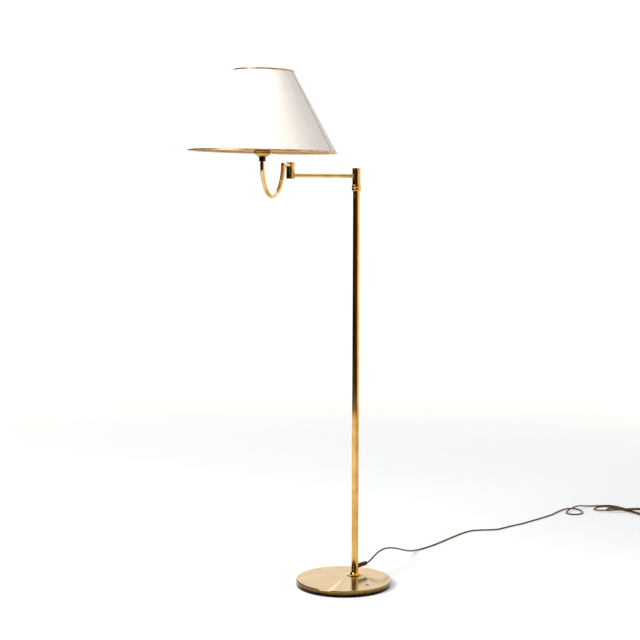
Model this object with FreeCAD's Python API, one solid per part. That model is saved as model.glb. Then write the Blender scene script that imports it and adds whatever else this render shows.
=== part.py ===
"""Bridge floor lamp: round weighted base, offset stem, two swing arms, swan neck and cone shade.

Millimetres, +Z up.  The origin is the centre of the underside of the base.  Seen from the
front, +X is to the right and +Y points away.  One STEP file is written for each piece.
"""
import FreeCAD, Part
import math
import os

V = FreeCAD.Vector
ORIGIN = V(0, 0, 0)
UP = V(0, 0, 1)

# ---- Base: felt, iron weight and spun brass cover ---------------------------------------
BASE_D = 250.0
BASE_HEIGHT = 17.5
FELT_T = 3.0
FELT_INSET = 1.0
COVER_T = 1.2
COVER_EDGE_R = 2.5
WEIGHT_GAP = 0.3
WEIGHT_CHAMFER = 3.0
RECESS_D = 32.0
RECESS_DEPTH = 7.0

# ---- Stem: tube that stands off the centre of the base ----------------------------------
STEM_OFFSET = 46.6
STEM_AZIMUTH = 48.65
STEM_D = 18.0
STEM_WALL = 1.5
STEM_HEIGHT = 1038.0
SLIP = 0.05
NIPPLE_D = 10.0
NIPPLE_BORE = 6.0
NIPPLE_TOP = 14.0
NIPPLE_OVER = 0.3
NUT_H = 5.0
NUT_FLATS = 17.0
WASHER_D = 26.0
WASHER_T = 1.6
PLUG_H = 16.0
FOOT_D = 42.5
FOOT_LIP = 1.4
FOOT_H = 8.5
FOOT_NECK_D = 20.6
FOOT_FLARE = 2.6

# ---- Cord outlet sleeve in the side of the stem -----------------------------------------
OUTLET_HEIGHT = 40.0
SLEEVE_D = 12.6
SLEEVE_TIP_D = 11.8
SLEEVE_LENGTH = 35.0
SLEEVE_ROUND = 1.2
RING_D = 14.4
RING_T = 3.0
THROAT_D = 8.0
THROAT_IN = 6.6

# ---- Cord -------------------------------------------------------------------------------
CORD_D = 4.5
CORD_SLIP = 0.1
FLOOR_GAP = 0.05
WIRE_BEND = 6.0

# ---- Head: collar, spindle and turning sleeve on top of the stem ------------------------
COLLAR_D = 25.0
COLLAR_H = 15.5
COLLAR_GROOVE = 0.9
COLLAR_SOCKET = 8.0
SPINDLE_ROOT = 20.0
SPINDLE_D = 12.0
SPINDLE_SEAT = 9.5
THREAD_D = 8.0
WIRE_BORE = 5.0
FRICTION_T = 0.5
FRICTION_INSET = 1.6
KNUCKLE_D = 21.4
KNUCKLE_BORE = 17.2
SLEEVE_H = 43.0
CAP_T = 1.6
CAP_SPIGOT = 3.0
CAP_CHAMFER = 0.6
SPRING_T = 0.8
LOCKNUT_H = 3.6
LOCKNUT_FLATS = 12.6
THREAD_OVER = 0.8

# ---- Inner arm ---------------------------------------------------------------------------
ARM_D = 10.5
ARM_WALL = 1.0
ARM_RISE = 22.7
ARM_AZIMUTH = 200.0
ARM_REACH = 181.5
ARM_END = 8.0
BRAZE = 0.02

# ---- Elbow: two halves that turn on a hollow pin ----------------------------------------
ELBOW_DROP = 9.0
ELBOW_LOWER_H = 22.8
ELBOW_UPPER_H = 19.0
LOWER_WEB = 6.5
UPPER_WEB = 4.0
PIN_D = 10.0
PIN_FLANGE_D = 14.0
PIN_FLANGE_T = 1.8
STUB_RISE = 11.0

# ---- Outer arm: stub, mitred corner and swan neck ---------------------------------------
OUTER_AZIMUTH = 253.5
STUB_REACH = 61.0
NECK_R = 81.0
NECK_DROP = 1.0
NECK_END = 9.0
LEAN = 1.2

# ---- Coupling, cup and lamp holder ------------------------------------------------------
COUPLING_D = 16.2
COUPLING_FLARE_D = 17.4
COUPLING_BELOW = 4.5
COUPLING_H = 10.5
CUP_D = 46.5
CUP_FOOT_D = 24.0
CUP_H = 14.5
CUP_WALL = 1.2
CUP_LIP = 2.0
CUP_BELLY = 1.6
HOLDER_D = 36.0
HOLDER_WALL = 1.5
HOLDER_CAP_H = 31.0
HOLDER_TAPER = 9.0
HOLDER_FLANGE_D = 40.0
HOLDER_FLANGE_T = 2.0
SKIRT_D = 34.0
SKIRT_H = 32.0
SKIRT_WALL = 1.2
SKIRT_INTO_CAP = 4.0
HOLDER_NIPPLE_H = 9.0
BLOCK_D = 30.6
BLOCK_Z = 12.5
BLOCK_ABOVE = 4.0
SCREW_SHELL_D = 28.4
SCREW_SHELL_T = 0.6
SCREW_SHELL_H = 24.0
CONTACT_D = 8.0
CONTACT_T = 2.0
RING_NUT_D = 46.0
RING_NUT_H = 8.0
RING_NUT_GROOVES = 24
RING_NUT_GROOVE_D = 1.6

# ---- Switch bar through the lamp holder -------------------------------------------------
BAR_D = 5.0
BAR_LENGTH = 46.0
BAR_TRAVEL = 5.0
BAR_RISE = 22.0
BAR_KNOB_D = 7.0
BAR_KNOB_T = 3.0
BAR_PLAY = 0.06

# ---- Bulb ---------------------------------------------------------------------------------
BULB_D = 60.0
BULB_LENGTH = 105.0
BULB_CAP_D = 26.2
BULB_CAP_H = 25.0
BULB_GLASS_T = 0.9
BULB_NECK_D = 25.0

# ---- Shade: cone on a three-armed carrier -----------------------------------------------
SHADE_BOTTOM_D = 360.0
SHADE_TOP_D = 140.0
SHADE_H = 195.0
SHADE_T = 1.1
SHADE_DROP = 20.5
SEAM_AZIMUTH = 338.0
SEAM_LAP = 5.0
SEAM_T = 0.7
CARRIER_HUB_D = 52.0
CARRIER_HUB_T = 1.5
CARRIER_WIRE = 3.0
CARRIER_ARMS = 3
CARRIER_AZIMUTH = 90.0
RIM_WIRE = 2.6
TRIM_H = 4.5
TRIM_T = 0.4
FIT = 0.05

# ---- Free cord: route of the stretch that is not coiled, as (x, y) or (x, y, z) ----------
ROUTE = [
    (70.5, 80, 40.5), (81, 93, 49), (95, 111, 59), (112, 136, 62.5), (129, 164, 58),
    (147, 199, 48.5), (166, 241, 34), (187, 290, 17.5), (208, 338, 5), (238, 376),
    (273, 418), (306, 467), (340, 519), (374, 569), (405, 601), (446, 608), (484, 612),
    (512, 640), (541, 667), (572, 691), (600, 722), (628, 751), (657, 783), (686, 816),
    (707, 851), (732, 889), (752, 908), (776, 913), (790, 892), (795, 860), (787, 832),
    (766, 821), (744, 827), (737, 848), (748, 868, 5), (771, 889, 12), (794, 911, 12),
    (815, 935, 5), (843, 949), (876, 954),
]

# ---- Hank: a loose figure of eight in two layers; one value for each loop in turn -------
HANK_X = 952.0
HANK_Y = 868.0
HANK_AXIS = -24.0
HANK_REACH = [105.0, 85.0, 118.0, 115.0, 78.0, 150.0]
HANK_BEFORE = [50.0, 34.0, 32.0, 46.0, 26.0, 70.0]
HANK_AFTER = [50.0, 27.0, 44.0, 40.0, 30.0, 70.0]
HANK_WAIST = [11.5, 11.5, -9.0, 0.0, 9.0, -11.5, -11.5]
HANK_HUMP = 7.6
HANK_START = -0.785
HANK_END = 3.76
HANK_STEPS = 8
HANK_LIFT = 0.5

# ---- Mains plug ---------------------------------------------------------------------------
PLUG_BODY_L = 36.0
PLUG_BODY_W = 26.0
PLUG_BODY_T = 13.7
PLUG_TAIL_L = 16.0
PLUG_TAIL_D = 7.5
PLUG_TIP_D = 5.6
PLUG_EDGE_R = 4.0
PLUG_PIN_D = 4.0
PLUG_PIN_L = 19.0
PLUG_PIN_GAP = 18.6

# ---- Levels and places worked out from the sizes above ----------------------------------
STEM_R = STEM_D / 2
STEM_BORE_R = STEM_R - STEM_WALL
STEM_X = STEM_OFFSET * math.cos(math.radians(STEM_AZIMUTH))
STEM_Y = STEM_OFFSET * math.sin(math.radians(STEM_AZIMUTH))
WEIGHT_TOP = BASE_HEIGHT - COVER_T
RECESS_TOP = FELT_T + RECESS_DEPTH
STEM_TOP = STEM_HEIGHT + COLLAR_SOCKET
COLLAR_TOP = STEM_HEIGHT + COLLAR_H
SLEEVE_Z = COLLAR_TOP + FRICTION_T
ARM_Z = SLEEVE_Z + ARM_RISE
ELBOW_X = STEM_X + ARM_REACH * math.cos(math.radians(ARM_AZIMUTH))
ELBOW_Y = STEM_Y + ARM_REACH * math.sin(math.radians(ARM_AZIMUTH))
ELBOW_Z = ARM_Z - ELBOW_DROP
SPLIT_Z = ELBOW_Z + ELBOW_LOWER_H
UPPER_Z = SPLIT_Z + FRICTION_T
STUB_Z = UPPER_Z + STUB_RISE
NECK_Z = STUB_Z + NECK_DROP
REACH = STUB_REACH + 2 * NECK_R
NECK_TOP = STUB_Z + NECK_END
COUPLING_Z = NECK_TOP - COUPLING_BELOW
CUP_Z = COUPLING_Z + COUPLING_H
HOLDER_Z = CUP_Z + CUP_WALL
FLANGE_Z = HOLDER_Z + HOLDER_CAP_H
SHADE_Z = FLANGE_Z - SHADE_DROP
SHADE_TOP = SHADE_Z + SHADE_H
BAR_Z = HOLDER_Z + BAR_RISE
BLOCK_BASE = HOLDER_Z + BLOCK_Z
BLOCK_TOP = FLANGE_Z + BLOCK_ABOVE
BULB_Z = BLOCK_TOP + CONTACT_T
CORD_R = CORD_D / 2
CORD_Z = CORD_R + FLOOR_GAP
SLEEVE_TIP = STEM_R + RING_T + SLEEVE_LENGTH


# ---- Shape helpers ------------------------------------------------------------------------
def cylinder(diameter, low, high, x=0.0):
    """Upright cylinder between two heights."""
    return Part.makeCylinder(diameter / 2, high - low, V(x, 0, low))


def pipe_piece(outer, inner, low, high):
    """Upright tube between two heights."""
    return cylinder(outer, low, high).cut(cylinder(inner, low - 1, high + 1))


def bow(start, end, rise):
    """Mid point of an arc from start to end that bulges to the left of the way by rise."""
    dx, dz = end[0] - start[0], end[1] - start[1]
    length = math.hypot(dx, dz)
    return ((start[0] + end[0]) / 2 - dz / length * rise, (start[1] + end[1]) / 2 + dx / length * rise)


def turned(start, *steps):
    """Solid of revolution about Z; a step is a (radius, height) point, or (mid, end) of an arc."""
    edges = []
    here = V(start[0], 0, start[1])
    for step in steps + (start,):
        if isinstance(step[0], tuple):
            mid, end = V(step[0][0], 0, step[0][1]), V(step[1][0], 0, step[1][1])
            edges.append(Part.Arc(here, mid, end).toShape())
        else:
            end = V(step[0], 0, step[1])
            edges.append(Part.LineSegment(here, end).toShape())
        here = end
    return Part.Face(Part.Wire(edges)).revolve(ORIGIN, UP, 360)


def hex_nut(flats, bore, low, high):
    """Hexagon nut with its corners turned off at 30 degrees."""
    corner = flats / math.sqrt(3)
    points = [V(corner * math.cos(math.radians(60 * i)), corner * math.sin(math.radians(60 * i)), low)
              for i in range(7)]
    prism = Part.Face(Part.makePolygon(points)).extrude(V(0, 0, high - low))
    drop = (corner - flats / 2) * math.tan(math.radians(30))
    blank = turned((bore / 2, low), (flats / 2, low), (corner, low + drop), (corner, high - drop),
                   (flats / 2, high), (bore / 2, high))
    return prism.common(blank)


def swept(path, diameter):
    """Round solid carried along a path that starts at the path's first point."""
    first = path[0]
    start = first.valueAt(first.FirstParameter)
    along = first.tangentAt(first.FirstParameter)
    ring = Part.Wire(Part.makeCircle(diameter / 2, start, along))
    return Part.Wire(path).makePipeShell([ring], True, False)


def line(start, end):
    """Straight edge."""
    return Part.LineSegment(start, end).toShape()


def rounded_route(points):
    """Edges along straight runs joined by tangent arcs, and the arcs' radii."""
    edges, radii = [], []
    here = points[0]
    for before, corner, after in zip(points, points[1:], points[2:]):
        back, ahead = before - corner, after - corner
        run = min(back.Length, ahead.Length)
        half = (math.pi - back.getAngle(ahead)) / 2
        radii.append(0.45 * run / math.tan(half))
        enter = corner + back.normalize() * (0.45 * run)
        leave = corner + ahead.normalize() * (0.45 * run)
        inward = (back + ahead).normalize()
        crown = corner + inward * (radii[-1] / math.cos(half) - radii[-1])
        edges.append(line(here, enter))
        edges.append(Part.Arc(enter, crown, leave).toShape())
        here = leave
    edges.append(line(here, points[-1]))
    return edges, radii


def tangent_arc(start, control, end):
    """Arc from start to end whose end tangents meet at control."""
    middle = (start + end) * 0.5
    rise = (control - middle).Length
    half_chord = (start - middle).Length
    if rise < 1e-6:
        return line(start, end)
    sagitta = half_chord * math.tan(math.atan2(rise, half_chord) / 2)
    return Part.Arc(start, middle + (control - middle) * (sagitta / rise), end).toShape()


def biarc(start, heading, end, final):
    """Two arcs, smooth where they meet, from one point and heading to another."""
    span = end - start
    both = span.dot(heading + final)
    gap = 2 * (1 - heading.dot(final))
    reach = (math.sqrt(both * both + gap * span.dot(span)) - both) / gap
    first, second = start + heading * reach, end - final * reach
    joint = (first + second) * 0.5
    return [tangent_arc(start, first, joint), tangent_arc(joint, second, end)]


# ---- Places: the stem, the inner arm, the elbow, the outer arm and the lamp holder -------
def on_stem(shape):
    """Move a piece built about Z to the stem's axis."""
    shape.translate(V(STEM_X, STEM_Y, 0))
    return shape


def on_inner_arm(shape):
    """Turn a piece built along +X from the head to the inner arm's direction."""
    shape.rotate(ORIGIN, UP, ARM_AZIMUTH)
    return on_stem(shape)


def at_elbow(shape):
    """Move a piece built about Z to the elbow's axis."""
    shape.translate(V(ARM_REACH, 0, 0))
    return on_inner_arm(shape)


def on_outer_arm(shape):
    """Turn a piece built along +X from the elbow to the outer arm's direction."""
    shape.rotate(ORIGIN, UP, OUTER_AZIMUTH)
    shape.translate(V(ELBOW_X, ELBOW_Y, 0))
    return shape


def on_neck(shape):
    """Lean a piece about the stub's axis, as the neck sags in its joint, and place it."""
    shape.rotate(V(0, 0, STUB_Z), V(1, 0, 0), -LEAN)
    return on_outer_arm(shape)


def on_holder(shape):
    """Place a piece built about Z on the lamp holder's axis."""
    shape.translate(V(REACH, 0, 0))
    return on_neck(shape)


# ---- Base ---------------------------------------------------------------------------------
def base_felt():
    return turned((0, 0), (BASE_D / 2 - FELT_INSET, 0), (BASE_D / 2 - FELT_INSET, FELT_T), (0, FELT_T))


def base_weight():
    radius = BASE_D / 2 - COVER_T - WEIGHT_GAP
    disc = turned((0, FELT_T), (radius, FELT_T), (radius, WEIGHT_TOP - WEIGHT_CHAMFER),
                  (radius - WEIGHT_CHAMFER, WEIGHT_TOP), (0, WEIGHT_TOP))
    recess = on_stem(cylinder(RECESS_D, FELT_T - 1, RECESS_TOP))
    hole = on_stem(cylinder(NIPPLE_D + 2 * SLIP, FELT_T, BASE_HEIGHT))
    return disc.cut(recess).cut(hole)


def base_cover():
    outer, edge = BASE_D / 2, COVER_EDGE_R
    inner, inner_edge = outer - COVER_T, COVER_EDGE_R - COVER_T
    cos45 = math.sqrt(0.5)
    centre = (outer - edge, BASE_HEIGHT - edge)
    shell = turned(
        (0, WEIGHT_TOP), (centre[0], WEIGHT_TOP),
        ((centre[0] + inner_edge * cos45, centre[1] + inner_edge * cos45), (inner, centre[1])),
        (inner, FELT_T), (outer, FELT_T), (outer, centre[1]),
        ((centre[0] + edge * cos45, centre[1] + edge * cos45), (centre[0], BASE_HEIGHT)),
        (0, BASE_HEIGHT))
    return shell.cut(on_stem(cylinder(NIPPLE_D + 2 * SLIP, FELT_T, BASE_HEIGHT + 1)))


def stem_nipple():
    low = RECESS_TOP - WASHER_T - NUT_H - NIPPLE_OVER
    return on_stem(pipe_piece(NIPPLE_D, NIPPLE_BORE, low, BASE_HEIGHT + NIPPLE_TOP))


def stem_washer():
    return on_stem(pipe_piece(WASHER_D, NIPPLE_D + 2 * SLIP, RECESS_TOP - WASHER_T, RECESS_TOP))


def stem_nut():
    top = RECESS_TOP - WASHER_T
    return on_stem(hex_nut(NUT_FLATS, NIPPLE_D + 2 * BRAZE, top - NUT_H, top))


# ---- Stem and cord outlet -----------------------------------------------------------------
def stem_foot():
    bore, low, top = STEM_R + SLIP, BASE_HEIGHT, BASE_HEIGHT + FOOT_H
    rim, neck = (FOOT_D / 2, low + FOOT_LIP), (FOOT_NECK_D / 2, top)
    return on_stem(turned((bore, low), (FOOT_D / 2, low), rim, (bow(rim, neck, FOOT_FLARE), neck), (bore, top)))


def stem_plug():
    return on_stem(pipe_piece(2 * STEM_BORE_R - 2 * BRAZE, NIPPLE_D + 2 * BRAZE, BASE_HEIGHT, BASE_HEIGHT + PLUG_H))


def outlet(shape):
    """Place a piece built along +Z from the stem's axis so that it points out of the stem."""
    shape.rotate(ORIGIN, V(0, 1, 0), 90)
    shape.rotate(ORIGIN, UP, STEM_AZIMUTH)
    shape.translate(V(0, 0, OUTLET_HEIGHT))
    return on_stem(shape)


def stem_tube():
    tube = on_stem(pipe_piece(STEM_D, 2 * STEM_BORE_R, BASE_HEIGHT, STEM_TOP))
    return tube.cut(outlet(cylinder(THROAT_D + 2 * SLIP, 0, STEM_D)))


def saddle():
    """Stand-in for the stem, a hair larger, to hollow whatever seats against it."""
    return on_stem(cylinder(STEM_D + 2 * BRAZE, 0, STEM_HEIGHT))


def sleeve_ring():
    ring = pipe_piece(RING_D, THROAT_D + 2 * SLIP, STEM_BORE_R, STEM_R + RING_T)
    return outlet(ring).cut(saddle())


def cord_sleeve():
    seat, tip, bore = STEM_R + RING_T, SLEEVE_TIP, CORD_R + CORD_SLIP
    end = (SLEEVE_TIP_D / 2 - SLEEVE_ROUND, tip)
    side = (SLEEVE_TIP_D / 2, tip - SLEEVE_ROUND)
    return outlet(turned((bore, THROAT_IN), (THROAT_D / 2, THROAT_IN), (THROAT_D / 2, seat),
                         (SLEEVE_D / 2, seat), side, (bow(side, end, -0.2929 * SLEEVE_ROUND * 0.707), end),
                         (bore, tip)))


def stem_wire():
    """Cord inside the sleeve and the stem, up to the top of the head's spindle."""
    turn = V(0, 0, OUTLET_HEIGHT + WIRE_BEND)
    direction = V(math.cos(math.radians(STEM_AZIMUTH)), math.sin(math.radians(STEM_AZIMUTH)), 0)
    level = V(0, 0, OUTLET_HEIGHT)
    corner = level + direction * WIRE_BEND
    path = [line(level + direction * SLEEVE_TIP, corner), tangent_arc(corner, level, turn),
            line(turn, V(0, 0, SPINDLE_TIP + 0.6))]
    return on_stem(swept(path, CORD_D))


# ---- Head -----------------------------------------------------------------------------------
SPINDLE_SHOULDER = SLEEVE_Z + SPINDLE_SEAT
SPINDLE_TIP = SPINDLE_SHOULDER + SPRING_T + LOCKNUT_H + THREAD_OVER


def stem_collar():
    socket, low, top = STEM_R + SLIP, STEM_HEIGHT, COLLAR_TOP
    outer, waist = COLLAR_D / 2, COLLAR_D / 2 - COLLAR_GROOVE
    bead = COLLAR_H / 2
    start, middle, end = (waist, low), (waist, low + bead), (waist, top)
    return on_stem(turned(
        (socket, low), start, ((outer, low + bead / 2), middle), ((outer, top - bead / 2), end),
        (SPINDLE_D / 2 + SLIP, top), (SPINDLE_D / 2 + SLIP, STEM_TOP), (socket, STEM_TOP)))


def head_spindle():
    bore = WIRE_BORE / 2
    return on_stem(turned(
        (bore, STEM_TOP - SPINDLE_ROOT), (STEM_BORE_R - BRAZE, STEM_TOP - SPINDLE_ROOT),
        (STEM_BORE_R - BRAZE, STEM_TOP), (SPINDLE_D / 2, STEM_TOP), (SPINDLE_D / 2, SPINDLE_SHOULDER),
        (THREAD_D / 2, SPINDLE_SHOULDER), (THREAD_D / 2, SPINDLE_TIP), (bore, SPINDLE_TIP)))


def head_washer():
    return on_stem(pipe_piece(KNUCKLE_D - 2 * FRICTION_INSET, SPINDLE_D + 2 * SLIP, COLLAR_TOP, SLEEVE_Z))


def head_spring():
    return on_stem(pipe_piece(KNUCKLE_BORE - 1.0, THREAD_D + 2 * SLIP, SPINDLE_SHOULDER, SPINDLE_SHOULDER + SPRING_T))


def head_nut():
    low = SPINDLE_SHOULDER + SPRING_T
    return on_stem(hex_nut(LOCKNUT_FLATS, THREAD_D + 2 * BRAZE, low, low + LOCKNUT_H))


def head_sleeve():
    top = SLEEVE_Z + SLEEVE_H - CAP_T
    body = turned((SPINDLE_D / 2 + SLIP, SLEEVE_Z), (KNUCKLE_D / 2, SLEEVE_Z), (KNUCKLE_D / 2, top),
                  (KNUCKLE_BORE / 2, top), (KNUCKLE_BORE / 2, SPINDLE_SHOULDER),
                  (SPINDLE_D / 2 + SLIP, SPINDLE_SHOULDER))
    return on_inner_arm(body.cut(arm_rod(ARM_D + 2 * BRAZE, 0, KNUCKLE_D)))


def knuckle_cap(low, high, spigot):
    """Turned cap of a knuckle; its spigot reaches down (positive) or up (negative)."""
    outer, inner, cut = KNUCKLE_D / 2, KNUCKLE_BORE / 2 - BRAZE, CAP_CHAMFER
    if spigot > 0:
        return turned((0, low - spigot), (inner, low - spigot), (inner, low), (outer, low),
                      (outer, high - cut), (outer - cut, high), (0, high))
    return turned((0, low), (outer - cut, low), (outer, low + cut), (outer, high),
                  (inner, high), (inner, high - spigot), (0, high - spigot))


def head_cap():
    top = SLEEVE_Z + SLEEVE_H
    return on_inner_arm(knuckle_cap(top - CAP_T, top, CAP_SPIGOT))


# ---- Inner arm and elbow --------------------------------------------------------------------
def arm_rod(diameter, start, end, height=ARM_Z):
    """Rod along +X at an arm's height."""
    return Part.makeCylinder(diameter / 2, end - start, V(start, 0, height), V(1, 0, 0))


def inner_arm_tube():
    bore = ARM_D - 2 * ARM_WALL
    tube = arm_rod(ARM_D, ARM_END, ARM_REACH - ARM_END)
    return on_inner_arm(tube.cut(arm_rod(bore, 0, ARM_REACH)))


def inner_arm_wire():
    """Cord that lies in the inner arm and turns up through the elbow's hollow pin."""
    low = ARM_Z - (ARM_D / 2 - ARM_WALL - CORD_R - SLIP)
    bend = V(ARM_REACH - WIRE_BEND, 0, low)
    up = V(ARM_REACH, 0, low + WIRE_BEND)
    path = [line(V(CORD_D, 0, low), bend), tangent_arc(bend, V(ARM_REACH, 0, low), up),
            line(up, V(ARM_REACH, 0, PIN_TIP - 0.5))]
    return on_inner_arm(swept(path, CORD_D))


WEB_Z = SPLIT_Z - LOWER_WEB
UPPER_FLOOR = UPPER_Z + UPPER_WEB
PIN_TIP = UPPER_FLOOR + SPRING_T + LOCKNUT_H + THREAD_OVER


def elbow_lower():
    low = ELBOW_Z + CAP_T
    body = turned((KNUCKLE_BORE / 2, low), (KNUCKLE_D / 2, low), (KNUCKLE_D / 2, SPLIT_Z),
                  (PIN_D / 2 + BRAZE, SPLIT_Z), (PIN_D / 2 + BRAZE, WEB_Z), (KNUCKLE_BORE / 2, WEB_Z))
    return at_elbow(body.cut(arm_rod(ARM_D + 2 * BRAZE, -KNUCKLE_D, 0)))


def elbow_base_cap():
    return at_elbow(knuckle_cap(ELBOW_Z, ELBOW_Z + CAP_T, -(ELBOW_DROP - ARM_D / 2 - CAP_T - SLIP)))


def elbow_pin():
    bore = WIRE_BORE / 2
    return at_elbow(turned(
        (bore, WEB_Z - PIN_FLANGE_T), (PIN_FLANGE_D / 2, WEB_Z - PIN_FLANGE_T), (PIN_FLANGE_D / 2, WEB_Z),
        (PIN_D / 2, WEB_Z), (PIN_D / 2, UPPER_FLOOR), (THREAD_D / 2, UPPER_FLOOR), (THREAD_D / 2, PIN_TIP),
        (bore, PIN_TIP)))


def elbow_washer():
    return at_elbow(pipe_piece(KNUCKLE_D - 2 * FRICTION_INSET, PIN_D + 2 * SLIP, SPLIT_Z, UPPER_Z))


def elbow_spring():
    return at_elbow(pipe_piece(KNUCKLE_BORE - 1.0, THREAD_D + 2 * SLIP, UPPER_FLOOR, UPPER_FLOOR + SPRING_T))


def elbow_nut():
    low = UPPER_FLOOR + SPRING_T
    return at_elbow(hex_nut(LOCKNUT_FLATS, THREAD_D + 2 * BRAZE, low, low + LOCKNUT_H))


def elbow_upper():
    top = UPPER_Z + ELBOW_UPPER_H - CAP_T
    body = turned((PIN_D / 2 + SLIP, UPPER_Z), (KNUCKLE_D / 2, UPPER_Z), (KNUCKLE_D / 2, top),
                  (KNUCKLE_BORE / 2, top), (KNUCKLE_BORE / 2, UPPER_FLOOR), (PIN_D / 2 + SLIP, UPPER_FLOOR))
    return on_outer_arm(body.cut(arm_rod(ARM_D + 2 * BRAZE, 0, KNUCKLE_D, STUB_Z)))


def elbow_top_cap():
    top = UPPER_Z + ELBOW_UPPER_H
    spigot = ELBOW_UPPER_H - STUB_RISE - ARM_D / 2 - CAP_T - SLIP
    return on_outer_arm(knuckle_cap(top - CAP_T, top, spigot))


# ---- Outer arm --------------------------------------------------------------------------------
def mitre_block(side):
    """Large block whose face is the mitre plane of the corner, on the stub's or the neck's side."""
    half = 2 * ARM_D
    block = Part.makeBox(2 * half, 2 * half, 2 * half, V(-half, -half, 0))
    block.Placement = FreeCAD.Placement(V(STUB_REACH, 0, STUB_Z), FreeCAD.Rotation(UP, V(side, 0, -side)))
    return block


def outer_stub():
    stub = arm_rod(ARM_D, ARM_END, STUB_REACH + ARM_D, STUB_Z)
    stub = stub.cut(arm_rod(ARM_D - 2 * ARM_WALL, 0, STUB_REACH + 2 * ARM_D, STUB_Z))
    return on_neck(stub.cut(mitre_block(1)))


def neck_path(start, end):
    """Down from the corner, round half a circle and up to the coupling."""
    far = STUB_REACH + 2 * NECK_R
    left, right = V(STUB_REACH, 0, NECK_Z), V(far, 0, NECK_Z)
    bottom = V(STUB_REACH + NECK_R, 0, NECK_Z - NECK_R)
    return [line(start, left), Part.Arc(left, bottom, right).toShape(), line(right, end)]


def swan_neck():
    path = neck_path(V(STUB_REACH, 0, STUB_Z + ARM_D), V(REACH, 0, NECK_TOP))
    tube = swept(path, ARM_D).cut(swept(path, ARM_D - 2 * ARM_WALL))
    return on_neck(tube.cut(mitre_block(-1)))


def neck_wire():
    """Cord inside the stub and the swan neck, up to the lamp holder's terminal block."""
    enter = V(STUB_REACH - WIRE_BEND, 0, STUB_Z)
    centre = V(STUB_REACH + NECK_R, 0, NECK_Z)
    drop = math.asin((WIRE_BEND + NECK_DROP) / NECK_R)
    leave = centre - V(math.cos(drop), 0, math.sin(drop)) * NECK_R
    bottom, right = centre - V(0, 0, NECK_R), centre + V(NECK_R, 0, 0)
    path = [line(V(THREAD_D / 2 + 2, 0, STUB_Z), enter)]
    path += biarc(enter, V(1, 0, 0), leave, V(math.sin(drop), 0, -math.cos(drop)))
    path += [Part.Arc(leave, bottom, right).toShape(), line(right, V(REACH, 0, BLOCK_BASE))]
    return on_neck(swept(path, CORD_D))


def neck_coupling():
    low, seat, top = COUPLING_Z, NECK_TOP, CUP_Z
    flare, outer, step = COUPLING_FLARE_D / 2, COUPLING_D / 2, 1.4
    return on_holder(turned(
        (ARM_D / 2 + BRAZE, low), (flare, low), (flare, low + step), (outer, low + 2 * step), (outer, top),
        (NIPPLE_D / 2 + BRAZE, top), (NIPPLE_D / 2 + BRAZE, seat), (ARM_D / 2 + BRAZE, seat)))


# ---- Cup and lamp holder ------------------------------------------------------------------------
def cup():
    foot, rim, wall, low = CUP_FOOT_D / 2, CUP_D / 2, CUP_WALL, CUP_Z
    top, lip, shoulder = low + CUP_H, low + CUP_H - CUP_LIP, rim - 1.6
    corner = (foot, low + wall)
    inner = (foot - wall, low + wall)
    return on_holder(turned(
        (NIPPLE_D / 2 + SLIP, low), (foot, low), corner,
        (bow(corner, (shoulder, lip), -CUP_BELLY), (shoulder, lip)), (rim, lip + 0.5), (rim, top),
        (rim - wall, top), (shoulder - wall, lip),
        (bow((shoulder - wall, lip), inner, CUP_BELLY), inner), (NIPPLE_D / 2 + SLIP, low + wall)))


def holder_nipple():
    return on_holder(pipe_piece(NIPPLE_D, NIPPLE_BORE, NECK_TOP, HOLDER_Z + HOLDER_NIPPLE_H))


def holder_cap():
    low, top, wall = HOLDER_Z, FLANGE_Z, HOLDER_WALL
    outer, narrow, flange = HOLDER_D / 2, CUP_FOOT_D / 2 - CUP_WALL - 1, HOLDER_FLANGE_D / 2
    taper = low + HOLDER_TAPER + 1
    body = turned(
        (NIPPLE_D / 2 + SLIP, low), (narrow, low), (outer - 1.2, taper), (outer, taper + 2),
        (outer, top - HOLDER_FLANGE_T), (flange, top - HOLDER_FLANGE_T), (flange, top), (outer - wall, top),
        (outer - wall, taper + 2), (NIPPLE_D / 2 + 2, low + 3), (NIPPLE_D / 2 + SLIP, low + 3))
    return on_holder(body.cut(bar_rod(BAR_D + 2 * BAR_PLAY, 2 * HOLDER_D)))


def bar_rod(diameter, length, shift=0.0):
    """Rod along Y at the switch bar's height, about the lamp holder's axis."""
    return Part.makeCylinder(diameter / 2, length, V(0, shift - length / 2, BAR_Z), V(0, 1, 0))


def holder_skirt():
    """Threaded sleeve that screws into the cap and carries the shade's ring nut."""
    low, top = FLANGE_Z - SKIRT_INTO_CAP, FLANGE_Z + SKIRT_H
    outer, spigot = SKIRT_D / 2, HOLDER_D / 2 - HOLDER_WALL - BRAZE
    inner = SKIRT_D / 2 - SKIRT_WALL
    return on_holder(turned((inner, low), (spigot, low), (spigot, FLANGE_Z), (outer, FLANGE_Z),
                            (outer, top), (inner, top)))


def holder_block():
    """Moulded terminal block; the switch bar runs through it."""
    block = cylinder(BLOCK_D, BLOCK_BASE, BLOCK_TOP)
    return on_holder(block.cut(bar_rod(BAR_D + 1, 2 * HOLDER_D)))


def screw_shell():
    return on_holder(pipe_piece(SCREW_SHELL_D, SCREW_SHELL_D - 2 * SCREW_SHELL_T, BLOCK_TOP, BLOCK_TOP + SCREW_SHELL_H))


def centre_contact():
    return on_holder(cylinder(CONTACT_D, BLOCK_TOP, BLOCK_TOP + CONTACT_T))


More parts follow.
